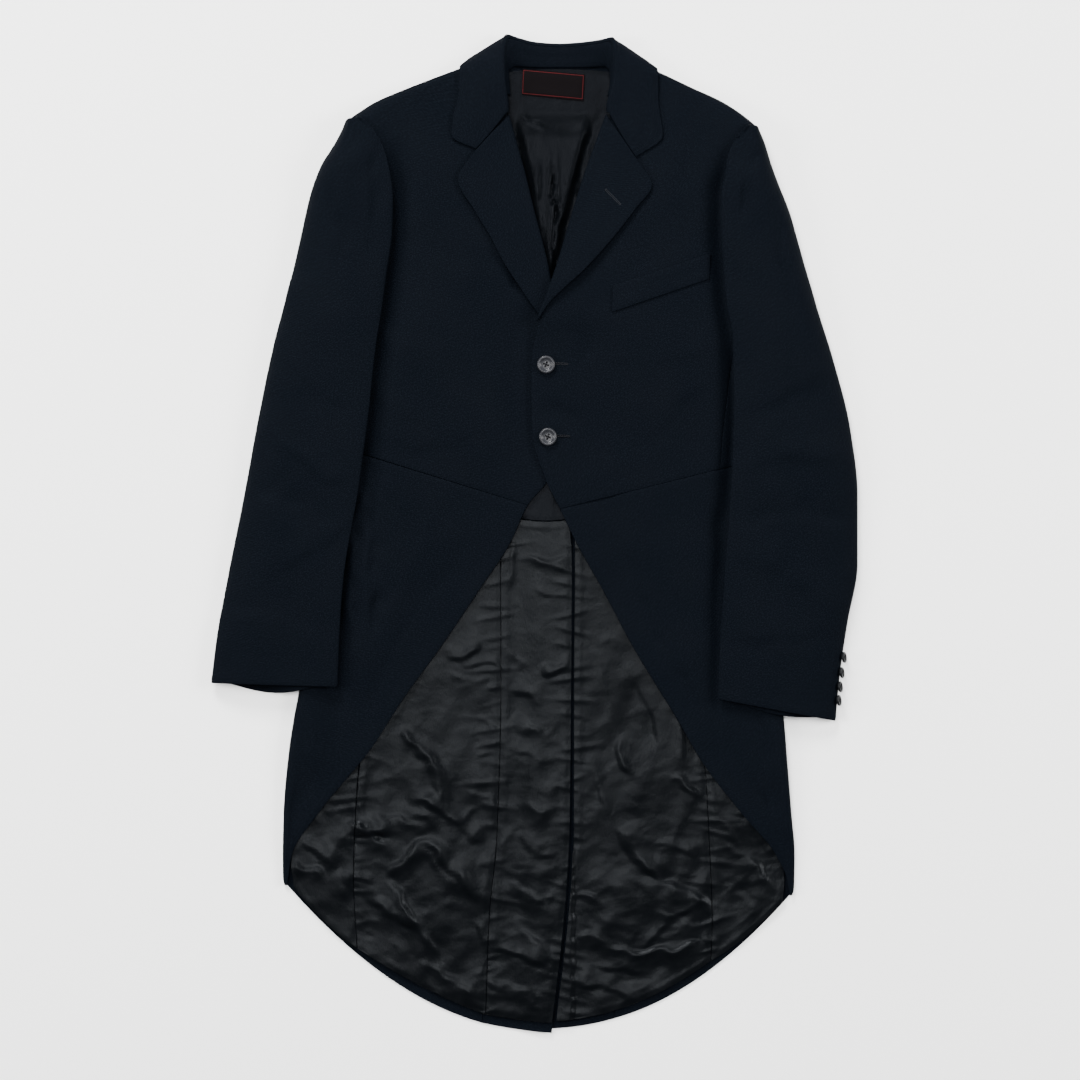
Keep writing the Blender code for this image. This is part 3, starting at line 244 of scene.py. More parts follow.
# Rows of the lapel facing, from the gorge to where the roll ends on the front edge
LapelRow = namedtuple("LapelRow", "roll_x roll_y edge_x edge_y lift")
LAPEL = {
    RIGHT: table_of(
        LapelRow,
        (-28, 453, -64, 414, 2.0), (-19, 420, -83, 382, 2.0), (-10, 387, -66, 350, 2.2),
        (-1.5, 352, -49, 322, 2.2), (7, 320, -33, 292, 1.8), (15, 288, -14, 263, 1.2),
        (20, 262, 0, 243, 0.8), (24, 238, 13, 228, 0.4), (27, 216, 21, 213, 0),
    ),
    LEFT: table_of(
        LapelRow,
        (76.5, 453, 109, 405, 2.0), (64.5, 420, 126, 376, 2.0), (53, 388, 108, 350, 2.4),
        (43.5, 358, 88, 324, 3.2), (35, 330, 70, 303, 4.4), (27, 302, 50, 282, 5.2),
        (18, 275, 31, 265, 4.6), (9, 251, 15, 249, 2.4), (1, 230, 5, 234, 0.6),
    ),
}

# The collar from the wearer's right front end, round the back, to the left one: its crease's roll centre,
# which way it faces in plan and how far it is tipped back, how far the roll turns, the knee and edge that
# the fall runs down to, and the neck seam that the stand rises from
CollarRow = namedtuple(
    "CollarRow",
    "x y z heading tilt turn knee_x knee_y knee_z edge_x edge_y edge_z neck_x neck_y neck_z",
)
COLLAR = table_of(
    CollarRow,
    (-31.5, 453.5, 17.2, 205, 0, 100, -44.5, 435.5, 20.0, -64, 415, 18.0, -25, 454, 13),
    (-31.5, 461, 17.8, 200, 0, 100, -60, 444, 21.0, -90, 430, 18.2, -25, 461, 12.5),
    (-33, 474, 19.2, 194, 0, 100, -60, 462, 22.0, -89, 447, 18.2, -26, 474, 12),
    (-35, 492, 20.5, 186, 0, 102, -60, 486, 22.5, -83, 474, 18.2, -27.5, 490, 11),
    (-35.5, 508, 20.5, 174, 6, 108, -62, 508, 21, -82, 497, 17.6, -28, 501, 8.5),
    (-35.2, 515, 19.6, 163, 14, 116, -67, 516, 17, -80, 505, 13, -25, 503.5, 7.6),
    (-34.2, 525, 18, 150, 25, 125, -63, 521, 10, -76, 511, 6, -22, 505.5, 7),
    (-28.5, 536.5, 13.5, 128, 62, 160, -42, 532, 2, -56, 519, 1, -10, 505, 6.4),
    (-19, 533.2, 9.6, 105, 84, 176, -20, 520, 0, -30, 502, 0, -4, 504.8, 6.2),
    (2, 528, 7.2, 94, 90, 180, 1, 512, 0, 0, 497, 0, 10, 504.6, 6),
    (26.5, 526.5, 6.6, 90, 90, 180, 26.5, 511, 0, 26.5, 495, 0, 26.5, 504.6, 6),
    (51, 528, 7.2, 86, 90, 180, 52, 512, 0, 53, 496, 0, 43, 504.6, 6),
    (71, 530.8, 9.5, 77, 84, 176, 73, 519, 0, 83, 500, 0, 58, 504.8, 6.2),
    (81.5, 533.5, 13.5, 52, 62, 160, 94, 530, 2, 108, 516, 1, 66, 505, 6.4),
    (87, 522, 18, 30, 25, 125, 115, 518, 10, 127, 507, 6, 76, 505, 7),
    (87.6, 513, 19.6, 18, 14, 116, 119, 515, 17, 131, 501.5, 13, 78, 503.5, 7.6),
    (87.5, 506, 20.5, 6, 6, 108, 114, 505, 21, 133, 493, 17.6, 80, 500, 8.5),
    (86.5, 490, 20.5, -6, 0, 102, 110, 483, 23, 133, 470, 18.6, 80.4, 488, 11),
    (83, 473, 20.2, -14, 0, 100, 108, 460, 23.5, 136, 446, 19.8, 77.6, 473, 13),
    (80, 461, 19.8, -20, 0, 100, 108, 443, 23, 138, 430, 20.4, 74.6, 461, 14),
    (79.8, 453.5, 19.6, -25, 0, 100, 92, 430.5, 23, 109, 406, 20.6, 74.2, 454, 14),
)
ROLL_START = -10
STAND_ROWS = slice(2, -2)

# How far the fall stays off the foreparts, how much more off their shoulder folds, and how far past the
# shoulders' neck ends
FALL_CLEAR = 0.9
FOLD_CLEAR = 1.5
NECK_REACH = 4

# Sleeve rows from the sleeve head to the cuff: outer edge, inner edge, how high its top stands, how high
# its inner edge rolls, how much of its width wraps back under there, and where the under sleeve ends
SleeveRow = namedtuple("SleeveRow", "outer_x outer_y inner_x inner_y top roll wrap under_x under_y")
SLEEVE = {
    RIGHT: table_of(
        SleeveRow,
        (-204.3, 446.6, -186, 447.5, 29, 2.6, 0.2, -196, 440),
        (-210.3, 433.4, -177, 438.6, 31, 2.6, 0.12, -194, 430),
        (-219, 418, -168, 426, 32.2, 2.6, 0.09, -192.8, 421),
        (-231, 399, -159, 402, 34, 2.6, 0.07, -190.4, 401),
        (-243, 367, -153, 362, 33.5, 2.8, 0.06, -192.8, 364),
        (-252, 328, -154, 326, 32.5, 3, 0.06, -200, 325), (-261, 288, -159, 287, 32, 3.4, 0.07, -215, 287),
        (-267, 264, -162, 264, 32, 4, 0.1, -208, 264), (-272, 245, -165, 242, 32, 4.5, 0.16, -182.1, 242.5),
        (-281, 212, -171, 206, 31, 5, 0.16, -188.6, 207), (-299, 127, -180, 124, 29, 5, 0.16, -199, 124.5),
        (-315, 40, -191, 44, 27, 5, 0.16, -210.8, 43.4), (-333, -50, -206, -45, 25, 5, 0.16, -226.3, -45.8),
        (-344, -112, -211, -113, 24, 5, 0.16, -232.3, -112.8),
        (-350, -161, -213, -165, 23, 5, 0.16, -234.9, -164.4),
    ),
    LEFT: table_of(
        SleeveRow,
        (241, 439.3, 227, 438.6, 29, 2.6, 0.2, 236, 432),
        (248.4, 422.4, 219, 428.4, 31, 2.6, 0.12, 230.5, 422),
        (255, 401, 210, 414, 32.2, 2.6, 0.09, 225.6, 408), (263, 379, 205, 392, 34, 2.6, 0.07, 223.4, 386),
        (275, 349, 200, 362, 33.5, 2.8, 0.06, 222.8, 356), (284, 318, 200, 328, 32.5, 3, 0.06, 226.4, 323),
        (293, 286, 202, 292, 32, 3.4, 0.07, 238, 288), (299, 266, 204, 271, 32, 4, 0.1, 228, 266),
        (305, 245, 206, 250, 32, 4.5, 0.16, 221.8, 249.2), (323, 187, 213, 206, 31, 5, 0.16, 230.6, 203),
        (341, 114, 214, 135, 29, 5, 0.16, 234.3, 131.6), (349, 42, 211, 52, 27, 5, 0.16, 233.1, 50.4),
        (349, -32, 205, -32, 25, 5, 0.16, 228, -32), (338, -96, 200, -106, 24, 5, 0.16, 222.1, -104.4),
        (330, -150, 198, -148, 23, 5, 0.16, 219.1, -148.3),
        (325, -202, 197, -178, 22, 5, 0.16, 217.5, -181.8),
    ),
}

# A sleeve's edges: the share of its width that the top sleeve wraps under the outer edge, how high that edge
# rolls, how square the top and the edges are, its least height, and the seams' share of the width
OUTER_WRAP = 0.13
OUTER_ROLL = 5.5
SLEEVE_SQUARENESS = 2.6
EDGE_SQUARENESS = 14
LEAST_SLEEVE = 1
SLEEVE_SEAM = 0.01

# How a sleeve climbs over the side of the body, and how far off it stays
CLIMB_WIDTH = 44
CLIMB_TOP_Y = 285
CLIMB_RUN = 20
SLEEVE_CLEAR = 1.2

# The under sleeve: the row that it starts from, how far it reaches past the cuff, and from how far up
UNDER_SLEEVE_FROM = 2
UNDER_SLEEVE_PAST_CUFF = {RIGHT: 9, LEFT: 5}
CUFF_BOW_RUN = 40

# How the right sleeve's buttons lift its cuff off the floor
CUFF_BUTTON_LIFT = 4.0
CUFF_LIFT_REACH = 26
CUFF_LIFT_RUN = 14

# The tail lining's widths, each in rows from the waist to the hem: its two edges, and how far the row bows
LiningRow = namedtuple("LiningRow", "left_x left_y right_x right_y bow")
TAIL_LINING = {
    "tail_lining_centre": table_of(
        LiningRow,
        (-38, 21.5, 38, 15.6, 4.7), (-37, -37, 39.8, -37, 0), (-36.5, -158, 39, -158, 0),
        (-41, -330, 37, -330, 0), (-49, -414, 31.5, -414, 0), (-53, -520, 18.5, -529, 1),
    ),
    "tail_lining_right": table_of(
        LiningRow,
        (-150, 40, -38.6, 15, 0), (-164, -37, -37.6, -37, 0), (-180, -158, -37.1, -158, 0),
        (-195, -330, -41.6, -330, 1), (-196, -380, -49.6, -414, 3), (-192, -449, -53.6, -520, 5),
    ),
    "tail_lining_far_right": table_of(
        LiningRow,
        (-200, 50, -150.6, 42, 0), (-212, -37, -164.6, -37, 0), (-240, -158, -180.6, -158, 0),
        (-262, -330, -195.6, -330, 0), (-264, -355, -196.6, -380, 1), (-261, -382, -192.8, -449, 5),
    ),
    "tail_lining_left": table_of(
        LiningRow,
        (43, 15, 165, 40, 0), (43, -37, 170, -37, 0), (42, -158, 178, -158, 0), (41.8, -330, 188, -330, 2),
        (36, -414, 191.5, -414, 4), (23, -527, 190, -462, 14),
    ),
    "tail_lining_far_left": table_of(
        LiningRow,
        (165.6, 42, 216, 50, 0), (170.6, -37, 227, -37, 0), (178.6, -158, 250, -158, 0),
        (188.6, -330, 269, -320, 0), (192.1, -414, 270, -370, 2), (190.8, -462, 268, -397, 5),
    ),
}

# Creases: a line from one end to the other, its half-width, and its height, or its depth where negative
Crease = namedtuple("Crease", "x1 y1 x2 y2 half_width height")

# The tail lining's largest wrinkles
WRINKLES = table_of(
    Crease,
    (-142, -215, -99, -284, 14, 4.5), (-132, -287, -59, -327, 13, 4), (-122, -338, -52, -395, 14, 4.5),
    (-160, -363, -113, -334, 12, 4), (-157, -366, -106, -471, 15, 4), (-94, -134, -59, -122, 11, 2.5),
    (92, -320, 127, -374, 16, 4.5), (127, -374, 192, -406, 16, 4.5), (49, -435, 92, -449, 14, 3.5),
    (92, -449, 181, -446, 14, 4), (149, -266, 181, -280, 12, 4), (90, -222, 99, -258, 12, 3.5),
    (-11, -26, 38, -26, 9, 2.2), (10, -147, 38, -147, 10, 2.2), (-24, -174, 9, -177, 12, 2.6),
    (-10, -290, 20, -300, 14, 2.6), (-20, -430, 25, -450, 15, 3), (-200, -320, -153, -318, 14, 5),
)

# The back lining, seen through the neck opening and at the waist, with its centre pleat
BACK_LINING = table_of(
    LiningRow,
    (-40, 23, 64, 23, 9), (-40, 50, 66, 50, 0), (-35, 150, 62, 150, 0), (-38, 250, 66, 250, 0),
    (-44, 350, 84, 350, 0), (-44, 430, 92, 430, 0), (-42, 456, 90, 456, 0), (-34, 490, 86, 490, 0),
    (-28, 500, 80, 500, -3),
)
PLEAT_X = 18.5
PLEAT_HALF_WIDTH = 9
PLEAT_HEIGHT = 2.6
LABEL_LIFT = 1.6

# Small pieces laid on the cloth: four corners, top left first and clockwise
Patch = namedtuple("Patch", "x1 y1 x2 y2 x3 y3 x4 y4")
BREAST_WELT = Patch(84, 268, 190, 303, 188, 275, 83, 239)
WOVEN_LABEL = Patch(-13, 503, 54, 497, 52.5, 468, -14, 475)

# The buttons' places. The left sleeve's lie on its outer edge, tilted up, and the right sleeve's beneath it
ButtonPlace = namedtuple("ButtonPlace", "name x y")
FRONT_BUTTONS = table_of(ButtonPlace, ("front_button_upper", 12, 183), ("front_button_lower", 14, 105))
LEFT_CUFF_BUTTONS = table_of(
    ButtonPlace,
    ("cuff_button_left_1", 332.6, -133.5), ("cuff_button_left_2", 330.2, -150),
    ("cuff_button_left_3", 328.4, -165.3), ("cuff_button_left_4", 327, -180),
)
RIGHT_CUFF_BUTTONS = table_of(
    ButtonPlace,
    ("cuff_button_right_1", -333.5, -103), ("cuff_button_right_2", -335.5, -118.5),
    ("cuff_button_right_3", -337.5, -134), ("cuff_button_right_4", -339, -149.5),
)
CUFF_BUTTON_RISE = 3
CUFF_BUTTON_TILT = 22
CUFF_BUTTON_LEAN = 0.1
FRONT_SIDES = 48
CUFF_SIDES = 32

# How finely the cloth is drawn: the step between its points, and how far in from an edge the first ones lie
CLOTH_STEP = 5.0
LINING_STEP = 2.2
HIDDEN_STEP = 9.0
NARROW_STEP = 4
STAND_STEP = 2.5
WELT_STEP = 4
LABEL_STEP = 3
EDGE_STATIONS = (0, 0.7, 1.6, 3.0, 5.0)
STAND_FRINGE = (0, 0.8, 2)
PATCH_FRINGE = (0, 0.6, 1.4)

# How a seam is pressed in, how the allowance beneath it shows beside it, and how steeply cloth has to turn
# down before it takes no relief
SEAM_DEPTH = 0.32
SEAM_WIDTH = 1.0
ALLOWANCE_HEIGHT = 0.28
ALLOWANCE_AT = 6.0
ALLOWANCE_WIDTH = 3.0
STEEP_SHARE = 0.6

# About how wide each piece is, for the stations across it
FOREPART_WIDTH = 225
SIDE_BODY_OVER = 40
SIDE_BODY_UNDER = 150
SKIRT_OVER = 220
SKIRT_UNDER = 200
BACK_WIDTH = 120
UNDER_SLEEVE_WIDTH = 110
STAND_HEIGHT = 22
TAIL_LINING_WIDTHS = {"centre": 75, "right": 135, "left": 145, "far_right": 65, "far_left": 70}
BACK_LINING_WIDTH = 110
WELT_SIZE = (110, 30)


def ramp(t):
    """0 to 1 with level ends."""
    t = np.clip(t, 0, 1)
    return t * t * (3 - 2 * t)


@functools.lru_cache(maxsize=None)
def tangents(places, values):
    """Slopes at a curve's points, kept low enough that it never overshoots."""
    step = np.diff(places)
    slope = np.diff(values) / step
    tangent = np.zeros(len(values))
    tangent[0], tangent[-1] = slope[0], slope[-1]
    for i in range(1, len(values) - 1):
        if slope[i - 1] * slope[i] > 0:
            before, after = 2 * step[i] + step[i - 1], step[i] + 2 * step[i - 1]
            tangent[i] = (before + after) / (before / slope[i - 1] + after / slope[i])
    return np.array(places, float), np.array(values, float), step, tangent


def smooth(at, places, values):
    """The curve through the values that never overshoots them."""
    places, values, step, tangent = tangents(tuple(map(float, places)), tuple(map(float, values)))
    at = np.clip(at, places[0], places[-1])
    i = np.clip(np.searchsorted(places, at, side="right") - 1, 0, len(step) - 1)
    t = (at - places[i]) / step[i]
    return (
        values[i] * (2 * t**3 - 3 * t**2 + 1)
        + step[i] * tangent[i] * (t**3 - 2 * t**2 + t)
        + values[i + 1] * (3 * t**2 - 2 * t**3)
        + step[i] * tangent[i + 1] * (t**3 - t**2)
    )


@functools.lru_cache(maxsize=None)
def body_column(side, name):
    return tuple(row.y for row in BODY[side]), tuple(getattr(row, name) for row in BODY[side])


def column(side, name, at):
    """A column of the body's table, read at any y."""
    return smooth(at, *body_column(side, name))


def seam_x(table, y):
    """Where a seam runs at any y, straight between the table's points."""
    return np.interp(y, [point.y for point in table], [point.x for point in table])


def stations(length, step, fringe=EDGE_STATIONS):
    """Places along a length: close together at both ends, where the edge rolls, and a step apart between."""
    fringe = [place for place in fringe if place < length / 3]
    inner = length - 2 * fringe[-1]
    count = max(2, round(inner / step))
    middle = list(np.linspace(fringe[-1], length - fringe[-1], count + 1)[1:-1])
    return np.array(fringe + middle + [length - place for place in reversed(fringe)])


def close_rows(rows, step, end_of, fringe=EDGE_STATIONS):
    """The table's rows read every step along its ends."""
    ends = [end_of(row) for row in rows]
    place = np.concatenate([[0], np.cumsum([math.dist(a, b) for a, b in zip(ends, ends[1:])])])
    at = stations(place[-1], step, fringe)
    columns = [smooth(at, place, [row[k] for row in rows]) for k in range(len(rows[0]))]
    return [type(rows[0])(*values) for values in zip(*columns)]


def shares(length, step, fringe=EDGE_STATIONS):
    """Stations as shares of a length."""
    return stations(length, step, fringe) / length


def floor_lift(y):
    """How far the collar's fall lifts the lower layer near the neck."""
    return LAP_LIFT * np.clip((y - NECK_LIFT_Y) / NECK_LIFT_RUN, 0, 1)


def vent_lift(x, y):
    """How far the vent's upper side is lifted by the side that it laps over."""
    below_top = np.clip((VENT_TOP_Y - y) / VENT_TOP_RUN, 0, 1)
    return LAP_LIFT * ramp((x - VENT_RISE_X) / VENT_RISE) * below_top


def upper_height(side, x, y):
    """The outer face of the upper layer: foreparts and skirt fronts."""
    front_x = column(side, "front_x", y)
    fold_x = column(side, "fold_x", y)
    fold_z = column(side, "fold_z", y)
    flat = FACING_WIDTH * ramp((y - FACING_LOW_Y) / FACING_RUN)
    run = np.maximum(np.abs(fold_x - front_x) - fold_z / 2 - flat, 1)
    across = np.clip((np.abs(x - front_x) * np.sign((x - front_x) * side) - flat) / run, 0, 1)
    front = 1 - ramp(across / SLOPE_SHARE)
    fold = ramp((across - 1 + SLOPE_SHARE) / SLOPE_SHARE)
    return (
        front * column(side, "front_z", y)
        + (1 - front - fold) * column(side, "middle_z", y)
        + fold * fold_z
    )


def word(side):
    return "left" if side == LEFT else "right"


# How fast a crease falls away on its steep side and on its gentle one
STEEP_SIDE = 2.3
GENTLE_SIDE = 0.55


def crease_height(creases, x, y):
    """Folds with a steep side and a long gentle one, which wander, come and go, and fade at their ends."""
    total = np.zeros(np.broadcast(x, y).shape)
    wander_x = x + soft_waves(x, y, 34, 5, 2.3)
    wander_y = y + soft_waves(x, y, 30, 5, 3.1)
    strength = 0.8 + soft_waves(x, y, 40, 0.7, 5.7)
    for c in creases:
        along = np.array([c.x2 - c.x1, c.y2 - c.y1], float)
        length = np.hypot(*along)
        t = ((wander_x - c.x1) * along[0] + (wander_y - c.y1) * along[1]) / length**2
        side = ((wander_x - c.x1) * along[1] - (wander_y - c.y1) * along[0]) / length
        bow = c.half_width * 0.35 * np.sin(np.clip(t, 0, 1) * math.pi * 1.3 + c.x1 * 0.07)
        fade = ramp((t + 0.15) / 0.4) * ramp((1.15 - t) / 0.4)
        off = (side - bow) / (c.half_width * 0.5)
        off = np.where(off * math.sin(c.x1 * 1.7 + c.y2) > 0, off * STEEP_SIDE, off * GENTLE_SIDE)
        total = total + c.height * strength * fade * np.exp(-np.abs(off) ** 1.7)
    return total


def soft_waves(x, y, length, height, seed):
    """A low, uneven swell, so that no stretch of cloth is quite flat."""
    total = np.zeros(np.broadcast(x, y).shape)
    for k in range(5):
        angle = seed * 1.7 + k * 2.4
        wave = length * (0.6 + 0.27 * k)
        total = total + np.sin(
            (x * math.cos(angle) + y * math.sin(angle)) * 2 * math.pi / wave + seed * (k + 1) * 1.3
        )
    return total * height / 5


def crumple(x, y, length, height, grain, spread, seed):
    """Short sharp-topped folds that run mostly along one direction, as in satin that has been lain on."""
    draw = np.random.default_rng(seed)
    total = np.zeros(np.broadcast(x, y).shape)
    for k in range(7):
        across = math.radians(grain + 90 + spread * draw.uniform(-1, 1))
        wave = length * draw.uniform(0.7, 1.6)
        drift = soft_waves(x, y, length * 2.6, length * 0.5, seed + k)
        phase = (x * math.cos(across) + y * math.sin(across) + drift) * 2 * math.pi / wave
        swell = 0.5 + 0.5 * np.sin(
            (x * math.sin(across) - y * math.cos(across)) * 2 * math.pi / (wave * 2.7) + draw.uniform(0, 6.3)
        )
        total = total + swell * (1 - np.abs(np.sin(phase / 2 + draw.uniform(0, 6.3)))) ** 2
    return height * total / 3


# Looks that every piece shares
def linear(hex_colour):
    """An sRGB hex colour as the linear RGBA that shaders take."""
    parts = [int(hex_colour[i : i + 2], 16) / 255 for i in (1, 3, 5)]
    return (*[c / 12.92 if c <= 0.04045 else ((c + 0.055) / 1.055) ** 2.4 for c in parts], 1)


def add(material, kind, settings=(), links=()):
    """One node with its settings and links. A socket goes by its capitalised name or its number."""
    node = material.node_tree.nodes.new(kind)
    for name, value in dict(settings).items():
        if isinstance(name, str) and name[0].islower():
            setattr(node, name, value)
        else:
            node.inputs[name].default_value = value
    for name, socket in dict(links).items():
        material.node_tree.links.new(socket, node.inputs[name])
    return node


def new_material(name, colour, roughness, **shader_values):
    material = bpy.data.materials.new(name)
    material.use_nodes = True
    shader = material.node_tree.nodes["Principled BSDF"]
    shader.inputs["Base Color"].default_value = linear(colour)
    shader.inputs["Roughness"].default_value = roughness
    for key, value in shader_values.items():
        shader.inputs[key.replace("_", " ").title().replace("Ior", "IOR")].default_value = value
    return material, shader


def normals(grid):
    """Unit normals of a sheet of points."""
    across = np.gradient(grid, axis=1)
    along = np.gradient(grid, axis=0)
    n = np.cross(across, along)
    return n / np.maximum(np.linalg.norm(n, axis=2, keepdims=True), 1e-9)


def run_along(grid, axis):
    """How far each point is along its row or column, from the first edge."""
    step = np.linalg.norm(np.diff(grid, axis=axis), axis=2)
    start = np.zeros_like(grid[:, :1, 0] if axis == 1 else grid[:1, :, 0])
    return np.concatenate([start, np.cumsum(step, axis=axis)], axis=axis)


def edge_distance(grid):
    """How far each point lies from the nearest edge of its piece, along the cloth."""
    u = run_along(grid, 1)
    v = run_along(grid, 0)
    return np.minimum(np.minimum(u, u[:, -1:] - u), np.minimum(v, v[-1:] - v))


def press_edges(grid, outward, depth):
    """Roll the edges in and raise the allowance that lies under the cloth beside each seam."""
    away = edge_distance(grid)
    drop = depth * np.exp(-((away / SEAM_WIDTH) ** 2))
    allowance = ALLOWANCE_HEIGHT * np.exp(-(((away - ALLOWANCE_AT) / ALLOWANCE_WIDTH) ** 2))
    return grid - outward * (drop - allowance)[:, :, None]


def sheet_mesh(name, grid, u, v):
    """A sheet's points as a mesh, with how far each lies along the cloth as its weave's UV map."""
    down, across = grid.shape[:2]
    build = bmesh.new()
    bmesh.ops.create_grid(build, x_segments=across - 1, y_segments=down - 1, size=1)
    build.verts.ensure_lookup_table()
    for vert, point in zip(build.verts, (grid.reshape(-1, 3) + place_shift) * MM):
        vert.co = point
    mesh = bpy.data.meshes.new(name)
    build.to_mesh(mesh)
    build.free()
    corner = np.empty(len(mesh.loops), dtype=np.int32)
    mesh.loops.foreach_get("vertex_index", corner)
    weave = mesh.uv_layers.new(name="weave")
    flat = np.stack([u.reshape(-1)[corner], v.reshape(-1)[corner]], axis=1) * MM
    weave.data.foreach_set("uv", flat.astype(np.float32).ravel())
    mesh.shade_smooth()
    return mesh


def link_piece(obj, finish):
    """A finished piece: linked, painted and riding with the coat."""
    bpy.context.collection.objects.link(obj)
    obj.data.materials.append(finish)
    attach(obj, "root")
    return obj


def cloth(
    name, grid, wall, finish, slot, up_at=None, down_at=None, relief=None, depth=SEAM_DEPTH, rests_on=()
):
    """A piece of cloth on the form of its solid: its outer face is the grid, its thickness lies behind."""
    grid = np.array(grid, float)
    i, j = up_at or down_at
    facing = normals(grid)
    if (facing[i, j, 2] > 0) != (up_at is not None):
        grid = grid[:, ::-1]
        facing = normals(grid)
    u = run_along(grid, 1)
    v = run_along(grid, 0)
    if relief is not None:
        level = np.clip(facing[:, :, 2] * (1 + STEEP_SHARE) - STEEP_SHARE, 0, 1)
        grid[:, :, 2] += relief(grid[:, :, 0], grid[:, :, 1]) * level
        facing = normals(grid)
    grid = press_edges(grid, facing, depth)
    grid[:, :, 2] = np.maximum(grid[:, :, 2], 0)
    obj = bpy.data.objects.new(name, sheet_mesh(name, grid, u, v))
    thick = obj.modifiers.new("wall", "SOLIDIFY")
    thick.thickness = wall * MM
    thick.offset = -1
    thick.use_quality_normals = True
    link_piece(obj, finish)
    return obj


def dress(node, grid, wall, finish, slot, **how):
    """The piece that stands for a solid of the same name."""
    obj = cloth(f"cloth_{node}", grid, wall, finish, slot, **how)
    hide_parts(node)
    return obj


def shoulder_points(side, t, angle, inset):
    """Points along the shoulder at one angle of its fold: 90 degrees is on top, -90 on the floor."""
    ends = SHOULDER[side]
    x = ends[0].x + (ends[-1].x - ends[0].x) * t
    order = sorted(ends, key=lambda point: point.x)
    y = smooth(x, [point.x for point in order], [point.y for point in order])
    in_x, in_y = SHOULDER_INWARD[side]
    top = upper_height(side, x + SHOULDER_READ_IN * in_x, y + SHOULDER_READ_IN * in_y)
    lift = floor_lift(y)
    radius = (top - lift) / 2
    reach = radius * (1 - math.cos(angle)) + inset
    z = lift + radius * (1 + math.sin(angle))
    return np.stack([x + in_x * reach, y + in_y * reach, z], axis=1)


def forepart_grid(side):
    t = shares(FOREPART_WIDTH, CLOTH_STEP)
    grid = []
    rows = close_rows(FOREPART[side], CLOTH_STEP, lambda row: (0, row.front_y))
    for row in rows:
        front_x = column(side, "front_x", row.front_y)
        side_x = seam_x(UNDERARM_SEAM[side], row.side_y)
        x = front_x + (side_x - front_x) * t
        y = row.front_y + (row.side_y - row.front_y) * t
        grid.append(np.stack([x, y, upper_height(side, x, y)], axis=1))
    grid = grid[: -len(EDGE_STATIONS) + 1]
    top = shoulder_points(side, t, math.radians(90), 0)
    last = grid[-1]
    for share in np.linspace(0, 1, 6)[1:-1]:
        xy = last[:, :2] + (top[:, :2] - last[:, :2]) * share
        z = upper_height(side, xy[:, 0], xy[:, 1])
        grid.append(np.column_stack([xy, z + (top[:, 2] - z) * ramp(share)]))
    for angle in np.linspace(90, -90, 13):
        grid.append(shoulder_points(side, t, math.radians(angle), 0))
    for inset in (SHOULDER_TURN / 2, SHOULDER_TURN):
        grid.append(shoulder_points(side, t, math.radians(-90), inset))
    return grid


def folded_grid(side, rows, upper, lower, front_x_of):
    """Rows that run out on the upper layer, round the side fold and back in on the floor."""
    grid = []
    for row in rows:
        front_x = front_x_of(row.front_y)
        back_x = seam_x(SIDE_BACK_SEAM[side], row.back_y)
        radius = column(side, "fold_z", row.fold_y) / 2
        fold_x = column(side, "fold_x", row.fold_y)
        x = front_x + (fold_x - side * radius - front_x) * upper
        y = row.front_y + (row.fold_y - row.front_y) * upper
        points = list(np.stack([x, y, upper_height(side, x, y)], axis=1))
        for angle in range(70, -90, -20):
            turn = math.radians(angle)
            place = fold_x - side * radius * (1 - math.cos(turn))
            points.append((place, row.fold_y, radius * (1 + math.sin(turn))))
        x = fold_x - side * radius + (back_x - fold_x + side * radius) * lower
        y = row.fold_y + (row.back_y - row.fold_y) * lower - 4 * row.bow * lower * (1 - lower)
        points += list(np.stack([x, y, np.zeros(len(lower))], axis=1))
        grid.append(points)
    return grid


def one_sided(length, step):
    """Shares of a length that are close together at its start only."""
    return np.concatenate([shares(length, step)[: -len(EDGE_STATIONS)], [1]])


def side_body_grid(side):
    def underarm(y):
        return seam_x(UNDERARM_SEAM[side], y)

    rows = close_rows(SIDE_BODY[side], HIDDEN_STEP, lambda row: (row.front_y, row.back_y))
    over = one_sided(SIDE_BODY_OVER, CLOTH_STEP)
    return folded_grid(side, rows, over, shares(SIDE_BODY_UNDER, HIDDEN_STEP), underarm)


def skirt_grid(side):
    def front_edge(y):
        return column(side, "front_x", y)

    rows = close_rows(SKIRT[side], CLOTH_STEP, lambda row: (row.front_y, row.front_y))
    over = one_sided(SKIRT_OVER, CLOTH_STEP)
    return folded_grid(side, rows, over, shares(SKIRT_UNDER, HIDDEN_STEP), front_edge)


def back_grid(side):
    rows = close_rows(BACK[side], HIDDEN_STEP, lambda row: (row.centre_x, row.centre_y))
    t = shares(BACK_WIDTH, HIDDEN_STEP)
    grid = []
    for row in rows:
        outer_x = seam_x(SIDE_BACK_SEAM[side], row.outer_y)
        centre_x = row.centre_x + side * SEAM / 2
        x = outer_x + (centre_x - outer_x) * t
        y = row.outer_y + (row.centre_y - row.outer_y) * t - 4 * row.bow * t * (1 - t)
        z = floor_lift(y) + (vent_lift(x, y) if side == RIGHT else 0)
        grid.append(np.stack([x, y, z], axis=1))
    grid = grid[: -len(EDGE_STATIONS) + 1]
    seam = shoulder_points(side, t, math.radians(-90), SHOULDER_TURN + SEAM)[::-1]
    grid.append((np.array(grid[-1]) + seam) / 2)
    grid.append(seam)
    return grid


# Where the points lie across a lapel and the collar's fall, close together at the roll and at the edge
LAPEL_SHARES = np.array(
    [0, 0.04, 0.09, 0.15, 0.22, 0.3, 0.38, 0.46, 0.54, 0.62, 0.7, 0.77, 0.84, 0.9, 0.94, 0.97, 0.99, 1]
)
FALL_SHARES = (0.06, 0.13, 0.21, 0.3, 0.39, 0.48, 0.57, 0.66, 0.75, 0.83, 0.9, 0.95, 0.98, 1)

